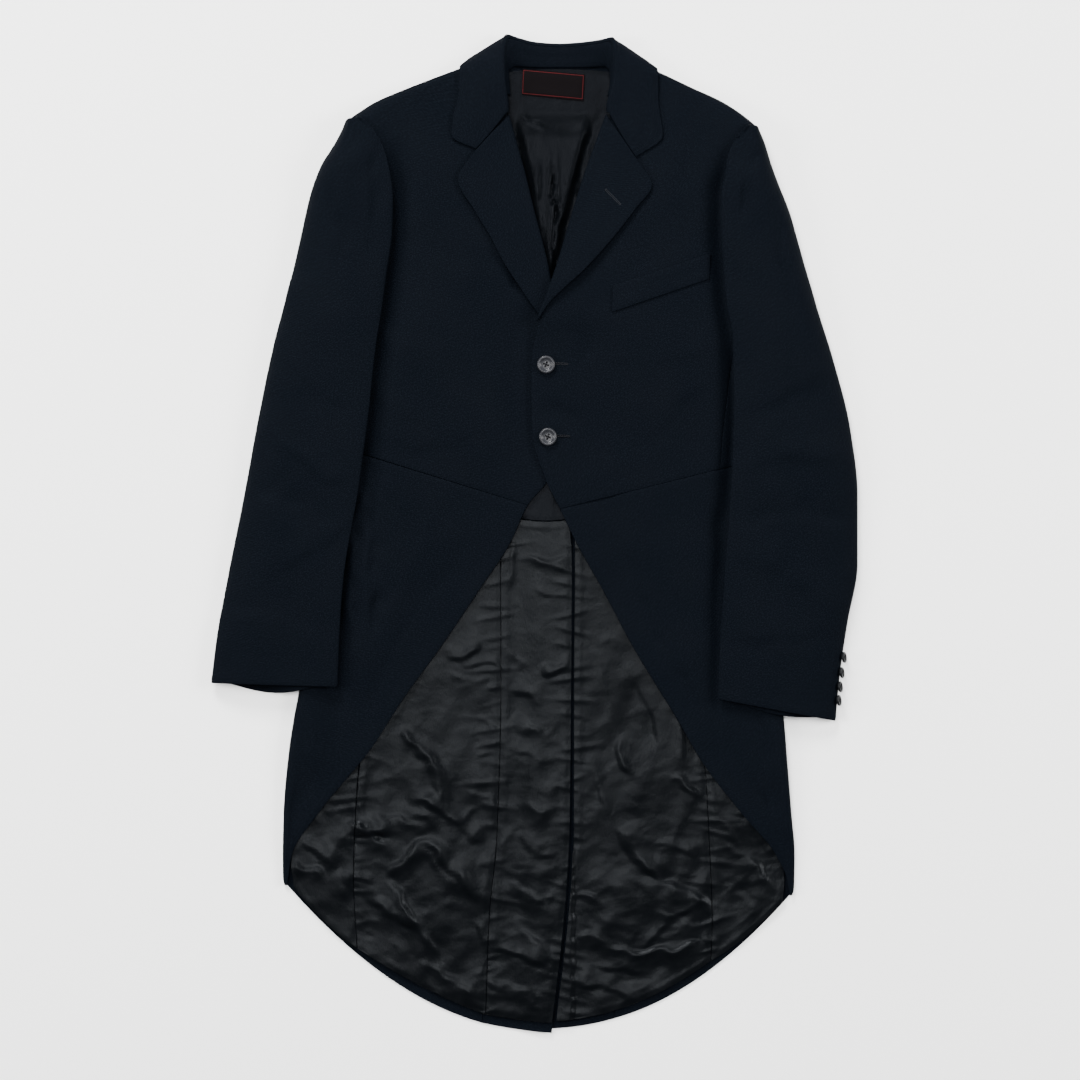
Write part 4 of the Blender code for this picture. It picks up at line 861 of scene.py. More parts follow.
# Where a lapel's height is read and how far it is tucked under, both out from its roll's centre, and the
# share of its width over which it lifts off the forepart
LAPEL_RIM = 0.3
LAPEL_TUCK = 2.5
LAPEL_LIFT_SHARE = 0.55


def lapel_grid(side):
    rows = close_rows(LAPEL[side], NARROW_STEP, lambda row: (row.roll_x, row.roll_y))
    grid = []
    for row in rows:
        roll = np.array([row.roll_x, row.roll_y])
        edge = np.array([row.edge_x, row.edge_y])
        width = np.linalg.norm(edge - roll)
        out = (edge - roll) / width
        centre = roll + out * ROLL_RADIUS
        rim = centre + out * LAPEL_RIM
        middle_z = float(upper_height(side, rim[0], rim[1])) - WOOL / 2
        points = [(*(centre + out * LAPEL_TUCK), middle_z - ROLL_RADIUS)]
        for angle in np.linspace(-90, 60, 8):
            turn = math.radians(angle)
            place = centre - out * ROLL_RADIUS * math.cos(turn)
            points.append((*place, middle_z + ROLL_RADIUS * math.sin(turn)))
        t = LAPEL_SHARES
        place = centre + (edge - centre) * t[:, None]
        base = upper_height(side, place[:, 0], place[:, 1]) + ROLL_RADIUS - WOOL / 2
        grid.append(points + list(np.column_stack([place, base + row.lift * ramp(t / LAPEL_LIFT_SHARE)])))
    return grid


def off_forepart(point):
    """A point of the collar, moved out of the forepart's top face and shoulder fold where it is too near."""
    x, y, z = point
    side = LEFT if x > COLLAR_CENTRE_X else RIGHT
    ends = sorted(SHOULDER[side], key=lambda end: end.x)
    if (x - SHOULDER[side][0].x) * side < -NECK_REACH:
        return point
    clear = COLLAR_CLOTH + FALL_CLEAR
    in_x, in_y = SHOULDER_INWARD[side]
    fold_y = float(smooth(x, [end.x for end in ends], [end.y for end in ends]))
    lift = floor_lift(fold_y)
    radius = (float(upper_height(side, x, y)) - lift) / 2
    past = (y - fold_y) * -in_y + radius
    if past <= 0:
        return np.array([x, y, max(z, float(upper_height(side, x, y)) + clear)])
    up = z - lift - radius
    distance = math.hypot(past, up)
    clear += FOLD_CLEAR
    if distance >= radius + clear:
        return point
    push = (radius + clear) / distance
    shift = past * (push - 1)
    return np.array([x - in_x * shift, y - in_y * shift, max(lift + radius + up * push, REST)])


def roll_frame(row):
    """The directions a collar row's roll turns through: from the neck side over to the crest."""
    heading = math.radians(row.heading)
    tilt = math.radians(row.tilt)
    out = np.array([math.cos(heading), math.sin(heading), 0])
    up = np.array([0, 0, 1.0])
    return up * math.sin(tilt) - out * math.cos(tilt), up * math.cos(tilt) + out * math.sin(tilt)


def roll_point(row, angle):
    inner, crest = roll_frame(row)
    turn = math.radians(angle)
    centre = np.array([row.x, row.y, row.z])
    return centre + FALL_RADIUS * (math.cos(turn) * inner + math.sin(turn) * crest)


def fall_grid():
    """The upper collar: its roll at the crease, then down to its outer edge."""
    grid = []
    for row in close_rows(COLLAR, NARROW_STEP, lambda row: (row.edge_x, row.edge_y)):
        points = [roll_point(row, angle) for angle in np.linspace(ROLL_START, row.turn, 9)]
        start = points[-1]
        knee = np.array([row.knee_x, row.knee_y, row.knee_z])
        edge = np.array([row.edge_x, row.edge_y, row.edge_z])
        for t in FALL_SHARES:
            points.append(off_forepart((1 - t) ** 2 * start + 2 * t * (1 - t) * knee + t * t * edge))
        grid.append(points)
    return grid


def stand_grid():
    """The band inside the neck, from the neck seam up to the crease."""
    grid = []
    for row in close_rows(COLLAR[STAND_ROWS], NARROW_STEP, lambda row: (row.x, row.y)):
        top = roll_point(row, ROLL_START)
        neck = np.array([row.neck_x, row.neck_y, row.neck_z])
        grid.append(neck + (top - neck) * shares(STAND_HEIGHT, STAND_STEP, STAND_FRINGE)[:, None])
    return grid


def body_top(side, x, y):
    """How high a sleeve lies over the side of the body."""
    fold_x = column(side, "fold_x", y)
    fold_z = column(side, "fold_z", y)
    inside = (x - fold_x) * side < -fold_z / 2
    return np.where(inside, upper_height(side, x, y), fold_z) + SLEEVE_CLEAR


def sleeve_floor(side, x, y):
    """The outer face of a sleeve's lower layer: on the floor, climbing over the body's side fold."""
    past = (x - column(side, "fold_x", y)) * side
    climb = ramp((CLIMB_WIDTH - past) / CLIMB_WIDTH) * ramp((CLIMB_TOP_Y - y) / CLIMB_RUN)
    height = body_top(side, x, y) * climb
    if side == RIGHT:
        first, last = RIGHT_CUFF_BUTTONS[0], RIGHT_CUFF_BUTTONS[-1]
        t = np.clip((first.y - y) / (first.y - last.y), 0, 1)
        off = np.hypot(x - first.x - (last.x - first.x) * t, y - first.y - (last.y - first.y) * t)
        height = np.maximum(height, CUFF_BUTTON_LIFT * ramp((CUFF_LIFT_REACH - off) / CUFF_LIFT_RUN))
    return height


def rounded(t, power):
    """1 across the middle of the sleeve's width and 0 at its edges."""
    return np.sqrt(np.maximum(1 - np.abs(2 * t - 1) ** power, 0))


def sleeve_rows(side):
    return close_rows(SLEEVE[side], CLOTH_STEP, lambda row: (row.outer_x, row.outer_y))


# Where the points lie round a sleeve: back along its wrap underneath, and over its top
WRAP_SHARES = np.array([1, 0.85, 0.65, 0.45, 0.3, 0.2, 0.12, 0.06, 0.02, 0])
OVER_SHARES = np.concatenate([[0.004, 0.01, 0.02, 0.035, 0.055, 0.08, 0.11], np.linspace(0.15, 0.85, 22)])
OVER_SHARES = np.concatenate([OVER_SHARES, 1 - OVER_SHARES[6::-1]])


# How far a sleeve's head turns in and up past its first row, from its tip to the fold
HEAD_TURN = ((4.5, 0.6), (2.6, 1.0), (1.0, 0.7))


def sleeve_top_grid(side):
    """The top sleeve: round its outer edge from beneath, over, and round its inner edge."""
    grid = []
    for row in sleeve_rows(side):
        outer = np.array([row.outer_x, row.outer_y])
        across = np.array([row.inner_x, row.inner_y]) - outer
        t = OUTER_WRAP * WRAP_SHARES
        x, y = outer[0] + across[0] * t, outer[1] + across[1] * t
        rolled = OUTER_ROLL * (1 - rounded(t, EDGE_SQUARENESS))
        under = np.column_stack([x, y, sleeve_floor(side, x, y) + rolled])
        outer_z = under[-1, 2]
        inner_z = float(body_top(side, row.inner_x, row.inner_y)) + row.roll
        t = OVER_SHARES
        edge_z = outer_z + (inner_z - outer_z) * ramp(t)
        top = edge_z + (np.maximum(row.top, edge_z + LEAST_SLEEVE) - edge_z) * rounded(t, SLEEVE_SQUARENESS)
        over = np.column_stack([outer[0] + across[0] * t, outer[1] + across[1] * t, top])
        t = 1 - row.wrap * WRAP_SHARES[::-1]
        x, y = outer[0] + across[0] * t, outer[1] + across[1] * t
        rolled = row.roll * (1 - rounded(t, EDGE_SQUARENESS))
        inner = np.column_stack([x, y, body_top(side, x, y) + rolled])
        grid.append(np.concatenate([under, over, inner]))
    return turned_in(grid[0]) + grid


def turned_in(end):
    """The seam allowance at a sleeve's head, turned in so that the head closes on the shoulder."""
    inward = end.mean(axis=0) - end
    inward = inward / np.maximum(np.linalg.norm(inward, axis=1, keepdims=True), 1)
    return [end + inward * reach + np.array([0, rise, 0]) for reach, rise in HEAD_TURN]


def sleeve_under_grid(side):
    """The under sleeve, flat on the floor and lying over the side of the body."""
    start = SLEEVE[side][UNDER_SLEEVE_FROM].outer_y
    rows = [row for row in sleeve_rows(side) if row.outer_y <= start]
    t = shares(UNDER_SLEEVE_WIDTH, HIDDEN_STEP)
    cuff = rows[-1]
    grid = []
    for row in rows:
        outer = np.array([row.outer_x, row.outer_y])
        inner = np.array([row.inner_x, row.inner_y])
        first = outer + (inner - outer) * (OUTER_WRAP + SLEEVE_SEAM)
        last = np.array([row.under_x, row.under_y]) + (outer - inner) * SLEEVE_SEAM
        x = first[0] + (last[0] - first[0]) * t
        y = first[1] + (last[1] - first[1]) * t
        past_cuff = UNDER_SLEEVE_PAST_CUFF[side] * ramp(1 - (row.outer_y - cuff.outer_y) / CUFF_BOW_RUN)
        grid.append(np.column_stack([x, y - past_cuff * np.sin(math.pi * t), sleeve_floor(side, x, y)]))
    return grid


def lower_top(x, y):
    """The inner face of the lower layer, which linings lie on."""
    return WOOL + floor_lift(y) + vent_lift(x, y) * (x < VENT_EDGE_X)


def lining_grid(rows, width):
    """Rows of a lining, laid on the lower layer."""
    t = shares(width, LINING_STEP)
    grid = []
    for row in close_rows(rows, LINING_STEP, lambda row: (row.left_x, row.left_y)):
        x = row.left_x + (row.right_x - row.left_x) * t
        y = row.left_y + (row.right_y - row.left_y) * t - 4 * row.bow * t * (1 - t)
        grid.append(np.stack([x, y, lower_top(x, y) + LINING_REST + SATIN], axis=1))
    return grid


def patch_grid(corners, width, length, step, height):
    """A four-cornered piece laid at a height over what it is sewn to."""
    places = np.array(corners).reshape(4, 2)
    t = shares(width, step, PATCH_FRINGE)
    grid = []
    for v in shares(length, step, PATCH_FRINGE):
        left = places[0] + (places[3] - places[0]) * v
        right = places[1] + (places[2] - places[1]) * v
        xy = left + (right - left) * t[:, None]
        grid.append(np.column_stack([xy, height(xy[:, 0], xy[:, 1])]))
    return grid


# How strongly the wool's creases show, and how long its swells are
BODY_FOLDS = 1.5
SLEEVE_FOLDS = 1.7
BODY_SWELL = 120
SLEEVE_SWELL = 110

# The trough that the body's wool falls into beside a sleeve, and the groove at the sleeve's very edge. The
# wool keeps HEIGHT_UNDER_TROUGH where it has it, and is never lower than LEAST_HEIGHT, clear of the lining
LEAST_HEIGHT = 6.4
TROUGH_DEPTH = 8.5
HEIGHT_UNDER_TROUGH = 7.5
TROUGH_AT = 1.5
TROUGH_WIDTH = 15.0
TROUGH_TOP_Y = 430
TROUGH_TOP_RUN = 60
GROOVE_DEPTH = 3.2
GROOVE_WIDTH = 4.5

# How the right front dips beside the left front's edge, which laps over it
LAP_DROP = 5.0
LAP_WIDTH = 22.0
LAP_EDGE = 2.6
LAP_EDGE_WIDTH = 5.0
LAP_TOP_Y = 260
LAP_TOP_RUN = 40

# The tail lining: how much of its relief is left under a skirt and how far in it fades, how low it may dip
# and how high it lies, how strongly its wrinkles show, and how calm its crumpling is high up
PRESSED = 0.12
PRESS_REACH = 14.0
FLAT_ON_BACK = -0.5
LINING_RISE = 0.5
WRINKLE_SHARE = 0.75
CALM_SHARE = 0.22
CALM_TO_Y = -40
CALM_RUN = 340

# The neck lining: how loosely it lies within the neck's V, whose point and two slopes are given, and where
# its pleat starts and ends and its crumpling fades under the label
NECK_LOOSE = 4.8
NECK_POINT = (17, 278)
NECK_V_SLOPES = {RIGHT: 0.215, LEFT: 0.245}
NECK_V_SLACK = 4
NECK_V_FADE = 9
NECK_TOP_Y = 456
NECK_TOP_RUN = 30
NECK_POINT_RUN = 14
PLEAT_TOP_Y = 430
PLEAT_TOP_RUN = 40
PLEAT_LOW_Y = 90
PLEAT_LOW_RUN = 60
LABEL_FLAT_Y = 480
LABEL_FLAT_RUN = 60

# The satin's crumpling, from broad to fine: how far apart its folds are, their height, the direction they run
# in and how far that strays, in degrees, and the seed of their draws
Crumple = namedtuple("Crumple", "length height grain spread seed")
TAIL_CRUMPLES = table_of(Crumple, (52, 1.5, 8, 45, 11), (20, 0.65, 14, 55, 12), (9, 0.22, 10, 60, 13))
NECK_CRUMPLES = table_of(Crumple, (30, 0.9, 78, 30, 14), (60, 0.8, 30, 60, 15))

# The tail lining's swells: how long and high each is, and its seed
TAIL_SWELLS = ((88, 1.8, 4), (46, 0.9, 9))

# The tail lining's puckered seams: where each runs at PUCKER_MIDDLE_Y, how much it leans, and where it starts
# and ends, with the seed of its puckers
PuckeredSeam = namedtuple("PuckeredSeam", "x lean top_y end_y seed")
PUCKER_MIDDLE_Y = -160
PUCKERED_SEAMS = table_of(
    PuckeredSeam,
    (-41, 0.03, 10, -520, 21), (38, 0, 0, -520, 22), (-194, 0, -180, -440, 23), (190, 0, -180, -440, 24),
)


def beside_sleeve(side, x, y):
    """How far a point of the body is inside the sleeve's inner edge: less than 0 under the sleeve."""
    rows = SLEEVE[side][::-1]
    edge_x = smooth(y, [row.inner_y for row in rows], [row.inner_x for row in rows])
    return (edge_x - x) * side


def body_relief(side, creases, swell, seed):
    """The creases and swell of the body's wool, and the trough that it falls into beside the sleeve."""

    def relief(x, y):
        height = upper_height(side, x, y)
        off = beside_sleeve(side, x, y)
        room = np.clip(height - HEIGHT_UNDER_TROUGH, 0, TROUGH_DEPTH)
        trough = room * np.exp(-(((off - TROUGH_AT) / TROUGH_WIDTH) ** 2))
        groove = GROOVE_DEPTH * room / TROUGH_DEPTH * np.exp(-((off / GROOVE_WIDTH) ** 2))
        trough = -(trough + groove) * ramp((TROUGH_TOP_Y - y) / TROUGH_TOP_RUN)
        lap = 0
        if side == RIGHT:
            past = column(LEFT, "front_x", y) - x
            shape = LAP_DROP * np.exp(-((past / LAP_WIDTH) ** 2))
            shape = shape + LAP_EDGE * np.exp(-((past / LAP_EDGE_WIDTH) ** 2))
            lap = -np.minimum(room, shape) * ramp((LAP_TOP_Y - y) / LAP_TOP_RUN)
        folds = BODY_FOLDS * crease_height(creases, x, y)
        total = folds + soft_waves(x, y, BODY_SWELL, swell, seed) + trough + lap
        return np.maximum(total, LEAST_HEIGHT - height)

    return relief


def sleeve_relief(creases, swell, seed):
    """The creases and swell of a sleeve."""

    def relief(x, y):
        return SLEEVE_FOLDS * crease_height(creases, x, y) + soft_waves(x, y, SLEEVE_SWELL, swell, seed)

    return relief


def puckers(x, y, middle_x, top_y, end_y, seed):
    """Short gathers that cross a lining's long seam every few millimetres, no two alike."""
    draw = np.random.default_rng(seed)
    total = np.zeros(np.broadcast(x, y).shape)
    at = top_y
    while at > end_y:
        at -= draw.uniform(7, 26)
        reach = draw.uniform(8, 24)
        lean = draw.uniform(-0.35, 0.35)
        width = draw.uniform(1.4, 3.0)
        height = draw.uniform(0.35, 1.25)
        middle = draw.uniform(-0.5, 0.5) * reach
        off = x - middle_x - middle
        line = y - at - lean * off
        total = total + height * np.exp(-((line / width) ** 2) - (off / reach) ** 2)
    return total


def lining_relief(x, y):
    """The tail lining's wrinkles, its seams' puckers and the crumpling all over, strongest low down."""
    large = WRINKLE_SHARE * crease_height(WRINKLES, x, y) + crease_height(LINING_CREASES, x, y)
    low = ramp((CALM_TO_Y - y) / CALM_RUN)
    fine = sum(crumple(x, y, *one) for one in TAIL_CRUMPLES)
    fine = fine + sum(soft_waves(x, y, *one) for one in TAIL_SWELLS)
    seams = 0
    for seam in PUCKERED_SEAMS:
        middle_x = seam.x + (y - PUCKER_MIDDLE_Y) * seam.lean
        seams = seams + puckers(x, y, middle_x, seam.top_y, seam.end_y, seam.seed)
    relief = large + LINING_RISE + fine * (CALM_SHARE + (1 - CALM_SHARE) * low) + seams
    return np.maximum(relief, FLAT_ON_BACK) * pressed_under_skirts(x, y)


def pressed_under_skirts(x, y):
    """1 where the lining lies open to view and near 0 where a skirt lies on it."""
    open_right = ramp((x - column(RIGHT, "front_x", y) + PRESS_REACH) / PRESS_REACH)
    open_left = ramp((column(LEFT, "front_x", y) - x + PRESS_REACH) / PRESS_REACH)
    return PRESSED + (1 - PRESSED) * open_right * open_left


def neck_lining_relief(x, y):
    """The back lining's pleat, the folds beside it and how loosely it lies within the neck's V."""
    ridge = ramp(1 - np.abs(x - PLEAT_X) / PLEAT_HALF_WIDTH)
    pleat = PLEAT_HEIGHT * ridge * ramp((PLEAT_TOP_Y - y) / PLEAT_TOP_RUN)
    pleat = pleat * ramp((y - PLEAT_LOW_Y) / PLEAT_LOW_RUN)
    fine = sum(crumple(x, y, *one) for one in NECK_CRUMPLES)
    point_x, point_y = NECK_POINT
    past_point = y - point_y
    open_right = ramp((x - point_x + NECK_V_SLOPES[RIGHT] * past_point + NECK_V_SLACK) / NECK_V_FADE)
    open_left = ramp((point_x + NECK_V_SLOPES[LEFT] * past_point + NECK_V_SLACK - x) / NECK_V_FADE)
    loose = ramp((NECK_TOP_Y - y) / NECK_TOP_RUN) * ramp(past_point / NECK_POINT_RUN) * open_right * open_left
    relief = pleat + crease_height(NECK_CREASES, x, y) + NECK_LOOSE * loose
    relief = relief + fine * ramp((LABEL_FLAT_Y - y) / LABEL_FLAT_RUN)
    return np.maximum(relief, FLAT_ON_BACK)


FOREPART_CREASES = {
    RIGHT: table_of(
        Crease,
        (-30, 190, -150, 230, 34, 0.8), (-46, 300, 4, 232, 11, -2.6), (-150, 330, -60, 250, 40, -1.0),
        (-120, 130, -200, 160, 26, 0.9), (-60, 90, -170, 105, 30, -0.8), (-140, 430, -150, 330, 26, -0.9),
        (-196, 240, -120, 200, 22, 0.7),
    ),
    LEFT: table_of(
        Crease,
        (35, 223, 51, 186, 16, -1.2), (11, 149, 46, 118, 18, -1.3), (60, 170, 190, 215, 36, 0.8),
        (170, 330, 80, 230, 42, -0.9), (190, 160, 120, 120, 28, 0.9), (150, 440, 170, 330, 28, -0.9),
        (30, 75, 190, 100, 28, -0.7),
    ),
}
SKIRT_CREASES = {
    RIGHT: table_of(
        Crease,
        (-189, 69, -196, -125, 12, 3.6), (-171, 72, -178, -115, 12, -3.2), (-120, 40, -170, -160, 34, 1.0),
        (-90, -40, -200, -220, 30, -0.9), (-240, -190, -250, -320, 18, 1.0),
    ),
    LEFT: table_of(
        Crease,
        (120, 60, 170, -180, 32, 1.0), (200, 60, 215, -140, 18, -1.3), (90, 0, 180, -210, 26, -0.9),
        (235, -150, 262, -330, 20, 1.1),
    ),
}
SLEEVE_CREASES = {
    RIGHT: table_of(
        Crease,
        (-164, 420, -182, 300, 16, -1.8), (-190, 430, -214, 330, 22, 1.2), (-230, 395, -205, 250, 24, -1.3),
        (-280, 190, -195, 130, 20, -1.2), (-300, 100, -200, 60, 22, 1.3), (-310, 40, -215, 20, 18, -1.3),
        (-205, 20, -290, -60, 20, 1.0), (-330, -70, -225, -110, 24, -0.9), (-260, 200, -285, -120, 34, 0.9),
    ),
    LEFT: table_of(
        Crease,
        (218, 407, 221, 336, 11, -1.7), (238, 415, 240, 392, 9, -1.3), (256, 393, 284, 228, 9, -1.5),
        (262, 400, 292, 235, 12, 1.0), (318, 180, 228, 120, 20, -1.3), (338, 90, 226, 70, 22, 1.2),
        (345, 20, 222, 10, 18, -1.4), (215, -20, 320, -80, 20, 1.1), (325, -100, 210, -130, 24, -0.9),
        (250, 240, 285, -120, 34, 0.9),
    ),
}
LINING_CREASES = table_of(
    Crease,
    (-203, -316, -156, -334, 11, 3.6), (-196, -332, -160, -322, 8, -3.0), (-262, -352, -232, -372, 8, 2.6),
    (-250, -330, -214, -366, 9, 2.4), (-220, -376, -176, -372, 9, 2.2), (-182, -392, -120, -430, 11, 2.4),
    (-176, -300, -122, -318, 9, 2.0), (206, -330, 262, -388, 11, 2.6), (222, -300, 256, -344, 9, 2.2),
    (120, -440, 176, -402, 12, 2.2), (-44, -450, 20, -470, 10, 1.8), (-50, -486, 10, -500, 9, 1.6),
    (-120, -470, -60, -496, 10, 1.8), (44, -486, 110, -500, 10, 1.6), (-145, -210, -92, -278, 9, 1.6),
    (-138, -224, -110, -262, 6, -1.2), (-125, -342, -68, -392, 8, 1.5), (-132, -300, -100, -322, 6, 1.1),
    (-100, -318, -62, -300, 6, 1.0), (-150, -382, -118, -452, 7, 1.4), (-96, -150, -52, -158, 7, 1.0),
    (-80, -136, -36, -146, 6, 0.9), (-60, -196, -42, -214, 5, 1.0), (-64, -240, -44, -236, 5, 0.9),
    (-70, -276, -44, -290, 6, 1.0), (-62, -420, -56, -452, 8, 1.0), (-30, -128, -8, -140, 5, 1.0),
    (-22, -200, 10, -210, 8, 1.1), (-30, -236, 24, -244, 9, 0.9), (-18, -330, 22, -350, 9, 1.1),
    (-30, -380, 10, -396, 8, 1.0), (8, -138, 34, -146, 6, 1.0), (2, -60, 34, -70, 7, 0.9),
    (-27, -10, -25, -58, 5, 1.2), (40, -392, 76, -396, 6, 1.6), (60, -130, 90, -200, 14, 1.1),
    (52, -250, 84, -300, 12, 1.0), (92, -320, 130, -378, 9, -1.4), (118, -330, 180, -350, 10, 1.2),
    (130, -410, 184, -430, 8, 1.2), (60, -470, 120, -470, 10, 1.2), (148, -268, 178, -284, 8, -1.5),
    (110, -150, 130, -240, 12, -1.0), (150, -200, 168, -250, 10, 1.0), (-196, -250, -176, -330, 8, 1.4),
    (-206, -300, -190, -345, 7, -1.4), (-240, -300, -214, -360, 9, 1.2), (-230, -350, -206, -390, 8, 1.1),
    (200, -300, 232, -360, 9, 1.3), (214, -270, 250, -320, 9, 1.0), (210, -380, 240, -410, 8, 1.1),
)
NECK_CREASES = table_of(
    Crease,
    (20, 412, 17, 268, 4.2, -8.0), (17, 400, 18, 330, 3.6, -5.0), (26, 400, 24, 300, 5, 2.6),
    (-16, 452, 8, 437, 4, 3.0), (-22, 440, -2, 330, 6, -5.0), (66, 452, 50, 352, 6, -5.0),
    (58, 440, 40, 330, 7, 2.4), (4, 400, 8, 300, 6, 2.0), (2, 400, -4, 250, 10, 0.9),
    (36, 410, 42, 260, 11, 0.9), (-14, 460, 8, 436, 9, 0.8), (52, 440, 70, 400, 9, 0.7),
    (-20, 420, 0, 390, 8, -0.6), (28, 380, 50, 330, 9, -0.6),
)


# The real sizes of each finish's pattern. The wool's twill line is about 0.8 mm apart and is drawn at 2.4 mm,
# because a finer one wouldn't show at this size. The satin's floats, the twist and the label's threads are
# drawn two or three times too coarse for the same reason
TWILL_LINE = 2.4
TWILL_ANGLE = 58
WAVE_TEXTURE_TURNS = 20
WOOL_NAP = 1.5625
WOOL_PATCH = 62.5
SATIN_FLOAT = 0.7143
SATIN_FLOAT_STRETCH = 0.12
SATIN_CRUSH = 16.67
HORN_CLOUD = 6.25
TWIST_WIND = 0.5556
LABEL_THREAD = 0.4545
LABEL_SIZE = (68, 28)
LABEL_LINE_IN = 1.6
LABEL_LINE = 0.3


def per_metre(size):
    """The scale that a texture takes for a pattern of a size in millimetres."""
    return 1 / (size * MM)


def wool_finish():
    """Wool barathea, woven and pressed: matt and near black, with a broken twill line and a faint nap."""
    material, shader = new_material(
        "wool_barathea_cloth",
        "#04070b",
        0.75,
        sheen_weight=0.003,
        sheen_roughness=0.45,
        sheen_tint=linear("#8c93a6"),
        specular_ior_level=0.012,
    )
    node = functools.partial(add, material)
    cloth_place = {"Vector": node("ShaderNodeUVMap", {"uv_map": "weave"}).outputs["UV"]}
    turn = node("ShaderNodeMapping", {"Rotation": (0, 0, math.radians(TWILL_ANGLE))}, cloth_place)
    twill_scale = 2 * math.pi / (TWILL_LINE * MM) / WAVE_TEXTURE_TURNS
    twill_settings = {"Scale": twill_scale, "Distortion": 0.6, "Detail": 1.0, "Detail Scale": 3.0}
    twill = node("ShaderNodeTexWave", twill_settings, {"Vector": turn.outputs["Vector"]})
    nap = node("ShaderNodeTexNoise", {"Scale": per_metre(WOOL_NAP), "Detail": 3.0}, cloth_place)
    patch = node("ShaderNodeTexNoise", {"Scale": per_metre(WOOL_PATCH), "Detail": 4.0}, cloth_place)
    shades = {"data_type": "RGBA", 6: linear("#030509"), 7: linear("#06080c")}
    shade = node("ShaderNodeMix", shades, {0: patch.outputs["Fac"]})
    range_of_speck = {"From Min": 0.45, "From Max": 0.8, "To Min": 0.0, "To Max": 0.7}
    speck = node("ShaderNodeMapRange", range_of_speck, {"Value": nap.outputs["Fac"]})
    lit_settings = {"data_type": "RGBA", 7: linear("#0e1218")}
    lit = node("ShaderNodeMix", lit_settings, {0: speck.outputs["Result"], 6: shade.outputs[2]})
    heights = {0: twill.outputs["Fac"], 2: nap.outputs["Fac"]}
    high = node("ShaderNodeMath", {"operation": "MULTIPLY_ADD", 1: 0.8}, heights)
    relief = {"Strength": 0.35, "Distance": 0.25 * MM}
    bump = node("ShaderNodeBump", relief, {"Height": high.outputs["Value"]})
    material.node_tree.links.new(lit.outputs[2], shader.inputs["Base Color"])
    material.node_tree.links.new(bump.outputs["Normal"], shader.inputs["Normal"])
    return material


def satin_finish(name, shine, tint):
    """Lining satin: long floats laid one way, so it shines softly across its folds and goes dark in them."""
    material, shader = new_material(
        name,
        "#050506",
        0.4,
        specular_ior_level=shine,
        specular_tint=linear(tint),
        anisotropic=0.4,
        sheen_weight=0.0,
    )
    node = functools.partial(add, material)
    cloth_place = {"Vector": node("ShaderNodeUVMap", {"uv_map": "weave"}).outputs["UV"]}
    stretch = node("ShaderNodeMapping", {"Scale": (1.0, SATIN_FLOAT_STRETCH, 1.0)}, cloth_place)
    float_settings = {"Scale": per_metre(SATIN_FLOAT), "Detail": 2.0}
    floats = node("ShaderNodeTexNoise", float_settings, {"Vector": stretch.outputs["Vector"]})
    crush_settings = {"Scale": per_metre(SATIN_CRUSH), "Detail": 5.0, "Roughness": 0.6}
    crush = node("ShaderNodeTexNoise", crush_settings, cloth_place)
    shades = {"data_type": "RGBA", 6: linear("#020304"), 7: linear("#060709")}
    shade = node("ShaderNodeMix", shades, {0: crush.outputs["Fac"]})
    range_of_gloss = {"From Min": 0.3, "From Max": 0.7, "To Min": 0.29, "To Max": 0.4}
    rough = node("ShaderNodeMapRange", range_of_gloss, {"Value": crush.outputs["Fac"]})
    heights = {0: crush.outputs["Fac"], 2: floats.outputs["Fac"]}
    high = node("ShaderNodeMath", {"operation": "MULTIPLY_ADD", 1: 3.0}, heights)
    bump = node("ShaderNodeBump", {"Strength": 0.3, "Distance": 0.5 * MM}, {"Height": high.outputs["Value"]})
    material.node_tree.links.new(shade.outputs[2], shader.inputs["Base Color"])
    material.node_tree.links.new(rough.outputs["Result"], shader.inputs["Roughness"])
    material.node_tree.links.new(bump.outputs["Normal"], shader.inputs["Normal"])
    return material


def horn_finish(name, dark, light, gloss):
    """Polished horn, turned: dark with grey clouding and a half gloss."""
    material, shader = new_material(name, dark, 0.3, specular_ior_level=gloss)
    node = functools.partial(add, material)
    place = {"Vector": node("ShaderNodeTexCoord").outputs["Object"]}
    cloud_settings = {"Scale": per_metre(HORN_CLOUD), "Detail": 4.0, "Distortion": 1.2}
    cloud = node("ShaderNodeTexNoise", cloud_settings, place)
    shades = {"data_type": "RGBA", 6: linear(dark), 7: linear(light)}
    shade = node("ShaderNodeMix", shades, {0: cloud.outputs["Fac"]})
    material.node_tree.links.new(shade.outputs[2], shader.inputs["Base Color"])
    return material


def thread_finish(name, colour):
    """Silk buttonhole twist: a fine cord wound close, with a little shine."""
    material, shader = new_material(name, colour, 0.5, specular_ior_level=0.08)
    node = functools.partial(add, material)
    place = {"Vector": node("ShaderNodeTexCoord").outputs["Object"]}
    wind = node("ShaderNodeTexNoise", {"Scale": per_metre(TWIST_WIND), "Detail": 2.0}, place)
    bump = node("ShaderNodeBump", {"Strength": 0.5, "Distance": 0.2 * MM}, {"Height": wind.outputs["Fac"]})
    material.node_tree.links.new(bump.outputs["Normal"], shader.inputs["Normal"])
    return material


